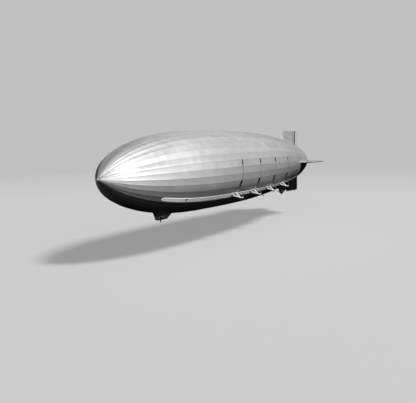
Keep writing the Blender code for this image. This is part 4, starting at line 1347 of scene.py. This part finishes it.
def build_bay():
    """Builds the frames and rails inside the hangar bay."""
    low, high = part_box("hangar_bay")
    refinish("hangar_bay", "inside")
    piece = Piece("hangar_bay_frames")
    inner_y, top = high.y - BAY_WALL, high.z - BAY_WALL
    under = top - BAY_FRAME_TOP
    for x in spread(low.x + 0.06, high.x - 0.06, 7):
        rear, front = x - BAY_FRAME_HALF, x + BAY_FRAME_HALF
        for side in (-1, 1):
            wall = sorted((side * (inner_y - BAY_FRAME_SIDE), side * inner_y))
            piece.add("inside", block((rear, wall[0], BAY_FRAME_END), (front, wall[1], top)))
        piece.add("inside", block((rear, -inner_y, under), (front, inner_y, top)))
    for y in BAY_RAILS:
        rear = (low.x + 0.02, y - BAY_RAIL_HALF, under - BAY_RAIL_DEEP)
        front = (high.x - 0.02, y + BAY_RAIL_HALF, under)
        piece.add("bright", block(rear, front, 0.003))
    piece.done("grey_metal")


# Castor: crown, axle's boss on the fork, its cap, wheel hub and hub bolts as distance along, radius;
# fork leg rows as height, front and rear from the swivel axis
CROWN = ((0.0, 0.0), (0.0, 0.025), (0.0012, 0.026), (0.0065, 0.026), (0.008, 0.0245), (0.010, 0.015),
         (0.0135, 0.013))
AXLE_BOSS = ((0, 0.0085), (0.0005, 0.009), (0.0065, 0.009), (0.007, 0.0085))
AXLE_CAP = ((0, 0.0052), (0.0014, 0.0052), (0.0018, 0.0042))
FORK_LEG = ((-0.008, 0.012, -0.029), (-0.030, 0.002, -0.028), (-0.055, -0.0115, -0.0285))
FORK_LEG_THICK = 0.007
# Bridge over the wheel, from the swivel: rear, bottom, front, top
FORK_BRIDGE = (-0.030, -0.014, 0.014, -0.006)
# Tyre: radius of its section's middle, half width, half depth
TYRE_MIDDLE, TYRE_WIDE, TYRE_DEEP = 0.0330, 0.017325, 0.0148
WHEEL_HUB = ((-WHEEL_HUB_HALF, 0.0), (-WHEEL_HUB_HALF, 0.0085), (-0.012, 0.0100), (-0.010, 0.0215),
             (-0.0125, 0.0235), (-0.0115, 0.0260), (0.0115, 0.0260), (0.0125, 0.0235), (0.010, 0.0215),
             (0.012, 0.0100), (WHEEL_HUB_HALF, 0.0085), (WHEEL_HUB_HALF, 0.0))
HUB_BOLT = ((-0.001, 0.0020), (0.0012, 0.0020), (0.0016, 0.0012))


def build_fork(name, swivel, axle):
    """Builds a castor's fork: its crown, its bridge and two legs with the axle's ends."""
    fork = Piece(name + "_fork_frame")
    fork.add("steel", spun(swivel, -UP, CROWN, 32))
    leg_in, leg_out = WHEEL_HUB_HALF + HINGE_GAP, WHEEL_HUB_HALF + HINGE_GAP + FORK_LEG_THICK
    rear, bottom, front, top = FORK_BRIDGE
    low, high = Vector((rear, -leg_out, bottom)), Vector((front, leg_out, top))
    fork.add("steel", block(swivel + low, swivel + high))
    for side in (-1, 1):
        near, far = sorted((side * leg_in, side * leg_out))
        rows = []
        for z, front, rear in FORK_LEG:
            corners = ((rear, near), (front, near), (front, far), (rear, far))
            rows.append([swivel + Vector((x, y, z)) for x, y in corners])
        fork.add("steel", loft(rows), spun(axle + PORTWARDS * near, PORTWARDS, AXLE_BOSS, 24))
        out = PORTWARDS * side
        fork.add("bright", spun(axle + out * (leg_out - 0.001), out, AXLE_CAP, 6))
    fork.done("grey_metal", name + "_fork", (name + "_fork",), sharp=30)


def build_wheel(name, axle):
    """Builds a castor's wheel: an open tyre on a dished hub with bolts."""
    wheel = Piece(name + "_wheel_tyre")
    tyre = []
    for degrees in range(-60, 241, 12):
        turn = math.radians(degrees)
        tyre.append((TYRE_WIDE * math.cos(turn), TYRE_MIDDLE + TYRE_DEEP * math.sin(turn)))
    spokes = oval(Vector(), FORWARD, UP, 48)
    rows = [[axle + PORTWARDS * along + spoke * radius for along, radius in tyre] for spoke in spokes]
    wheel.add("rubber", loft(rows, True))
    wheel.add("panel_light", spun(axle, PORTWARDS, WHEEL_HUB, 32))
    for side in (-1, 1):
        out = PORTWARDS * side
        wheel.bolts("steel", axle + out * 0.0105, out, 0.0155, 6, HUB_BOLT)
    wheel.done("black_rubber", name + "_wheel", (name + "_wheel",), sharp=30)


def build_castors():
    """Builds the control car's and the tail station's castors."""
    for name in ("taxi", "tail"):
        wheel_low, wheel_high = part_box(name + "_wheel")
        axle = (wheel_low + wheel_high) / 2
        build_fork(name, Vector((axle.x + CASTOR_TRAIL, 0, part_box(name + "_fork")[1].z)), axle)
        build_wheel(name, axle)


# Hood rows: height, growth. Hood's and its rim's half length and half width, how far its top lies
# aft, and its rim's height and radius
HOOD_ROWS = ((-0.004, 1.0), (0.002, 0.98), (0.005, 0.86), (0.0068, 0.60), (0.0075, 0.25))
HOOD_HALF, HOOD_RIM_HALF, HOOD_ANGLES = (0.050, 0.026), (0.056, 0.031), (80.0, 100.0)
HOOD_RAKE, HOOD_RIM_HEIGHT, HOOD_RIM_RADIUS = 0.014, 0.0008, 0.0016
HATCH_STATIONS, HATCH_ANGLE = (5.2, 10.1, 12.5, 14.7, 17.0), -70.0
# A hatch's cover, two hinges and latch: finish, low corner, high corner, bevel. The covers are near-black,
# painted shade on the belly.
HATCH_BLOCKS = (("shade_painted_dark", (-0.080, -0.050, -0.003), (0.080, 0.050, 0.0022), 0.002),
                ("steel", (-0.070, -0.057, -0.001), (-0.050, -0.048, 0.0042), 0.001),
                ("steel", (0.050, -0.057, -0.001), (0.070, -0.048, 0.0042), 0.001),
                ("steel", (-0.012, 0.038, 0.001), (0.012, 0.044, 0.0048), 0.001))


def build_hull_fittings():
    """Builds the small hoods along the hull's back and the hatches along its keel."""
    hoods = Piece("ventilation_hoods")
    long, wide = FORWARD * HOOD_HALF[0], PORTWARDS * HOOD_HALF[1]
    rows = []
    for height, grow in HOOD_ROWS:
        rows.append(oval(Vector((HOOD_RAKE * (1 - grow), 0, height)), long * grow, wide * grow, 20))
    rim = oval(UP * HOOD_RIM_HEIGHT, FORWARD * HOOD_RIM_HALF[0], PORTWARDS * HOOD_RIM_HALF[1], 24)
    for number in range(5, 34, 2):
        for angle in HOOD_ANGLES:
            place = on_skin_matrix(FIRST_FRAME + FRAME_STEP * (number + 0.5), angle, 1)
            hoods.add("tail", moved(loft(rows), place))
            hoods.add("tail", pipe([place @ point for point in rim], HOOD_RIM_RADIUS, 6, True))
    hoods.done("silver_cover")
    hatches = Piece("keel_hatches")
    rim = [Vector((a, b, 0.0006)) for a, b in rounded_corners(-0.085, 0.085, -0.055, 0.055, 0.016)]
    for station in HATCH_STATIONS:
        for side in (-1, 1):
            place = on_skin_matrix(station, HATCH_ANGLE, side)
            # Painted shade: the rims are near-black like the covers
            hatches.add("shade_painted_dark", pipe([place @ point for point in rim], 0.0020, 6, True))
            for key, low, high, bevel in HATCH_BLOCKS:
                hatches.add(key, block(low, high, bevel, place))
    hatches.done("silver_cover")


# Floor, light and camera

CAMERA_PLACE = Vector((NOSE_X + 18.223, 15.098, 1.436))
CAMERA_YAW, CAMERA_PITCH, CAMERA_ROLL = 209.07, -5.78, -0.70
LENS = 51.09
FLOOR_DROP, FLOOR_TONE, FLOOR_GLOW = 1.6, 0.12, 0.30
# The floor fades out between two distances
FLOOR_RADIUS, FLOOR_FADE = 90, (28, 80)
# Lights: name, bearing and height in degrees, softness in degrees, power
LIGHTS = (("key", 80.4, 46.9, 12.0, 9.2), ("front", 18.4, 22.0, 12.0, 0.36),
          ("fill", -62.0, 6.0, 10.0, 0.8))
SURROUND_AXIS = (0.104, 0.994, 0.020)
SURROUND_FROM, SURROUND_TO, SURROUND_POWER = 0.484, 1.554, 2.98
HORIZON_FROM, HORIZON_TO = -0.238, -0.038
BACKDROP_TONE = 0.53


def heading(bearing, height):
    """Gives a direction from a bearing and a height in degrees."""
    turn, lift = math.radians(bearing), math.radians(height)
    return Vector((math.cos(lift) * math.cos(turn), math.cos(lift) * math.sin(turn), math.sin(lift)))


def build_camera():
    """Places the camera at the photograph's viewpoint."""
    ahead, roll = heading(CAMERA_YAW, CAMERA_PITCH), math.radians(CAMERA_ROLL)
    right = ahead.cross(UP).normalized()
    up = right.cross(ahead)
    right, up = right * math.cos(roll) + up * math.sin(roll), up * math.cos(roll) - right * math.sin(roll)
    data = bpy.data.cameras.new("camera")
    data.lens = LENS
    data.sensor_width = 36.0
    data.clip_end = 1000
    camera = new_object("camera", data)
    turn = Matrix((right, up, -ahead)).transposed().to_4x4()
    camera.matrix_world = Matrix.Translation(CAMERA_PLACE) @ turn
    bpy.context.scene.camera = camera


def build_floor():
    """Lays a round pale floor that fades out far away."""
    shape = bmesh.new()
    bmesh.ops.create_circle(shape, cap_ends=True, segments=96, radius=FLOOR_RADIUS)
    floor = new_object("floor", mesh_from(shape, "floor"))
    floor.location.z = CAD_BOX[0].z - FLOOR_DROP
    made = Finish("floor", grey(FLOOR_TONE), 0.9, 0.0)
    made.shader["Emission Color"].default_value = grey(1)
    made.shader["Emission Strength"].default_value = FLOOR_GLOW
    x, y, _ = made.axes()
    distance = made.maths("SQRT", made.maths("MULTIPLY_ADD", x, x, made.maths("MULTIPLY", y, y)))
    made.put(made.shader["Alpha"], made.ramp(distance, *FLOOR_FADE, 1.0, 0.0))
    floor.data.materials.append(made.done())
    floor.visible_diffuse = False
    floor.visible_glossy = False


def build_light():
    """A broad key high to port, faint front and starboard lights, and a soft surround."""
    for name, bearing, height, soft, power in LIGHTS:
        sun = bpy.data.lights.new(name, "SUN")
        sun.energy = power
        sun.angle = math.radians(soft)
        light = new_object(name, sun)
        light.rotation_mode = "QUATERNION"
        light.rotation_quaternion = heading(bearing, height).to_track_quat("Z", "Y")
    world = bpy.data.worlds.new("surround")
    bpy.context.scene.world = world
    world.use_nodes = True
    sky = Nodes(world.node_tree, "Generated")
    reach = sky.along(SURROUND_AXIS)
    glow = sky.ramp(reach, SURROUND_FROM, SURROUND_TO, 0.0, SURROUND_POWER, "SMOOTHSTEP")
    glow = sky.maths("MULTIPLY", glow, sky.ramp(sky.axes()[2], HORIZON_FROM, HORIZON_TO))
    seen = sky.node("ShaderNodeLightPath").outputs["Is Camera Ray"]
    background = sky.tree.nodes["Background"]
    sky.put(background.inputs["Strength"], sky.mix(seen, glow, BACKDROP_TONE, "FLOAT"))
    background.inputs["Color"].default_value = grey(1)
    bpy.context.scene.view_settings.view_transform = "Standard"


build_camera()
build_floor()
build_light()
build_hull()
for side_name, side in SIDE_SIGNS:
    build_band(side_name, side)
    build_condensers(side_name, side)
    refinish(side_name + "_engine_beam", "inside")
    build_belly_door(side_name, side)
for side_name, side in SIDE_SIGNS:
    build_engines(side_name, side)
build_tail()
build_car()
build_bay()
build_castors()
build_hull_fittings()
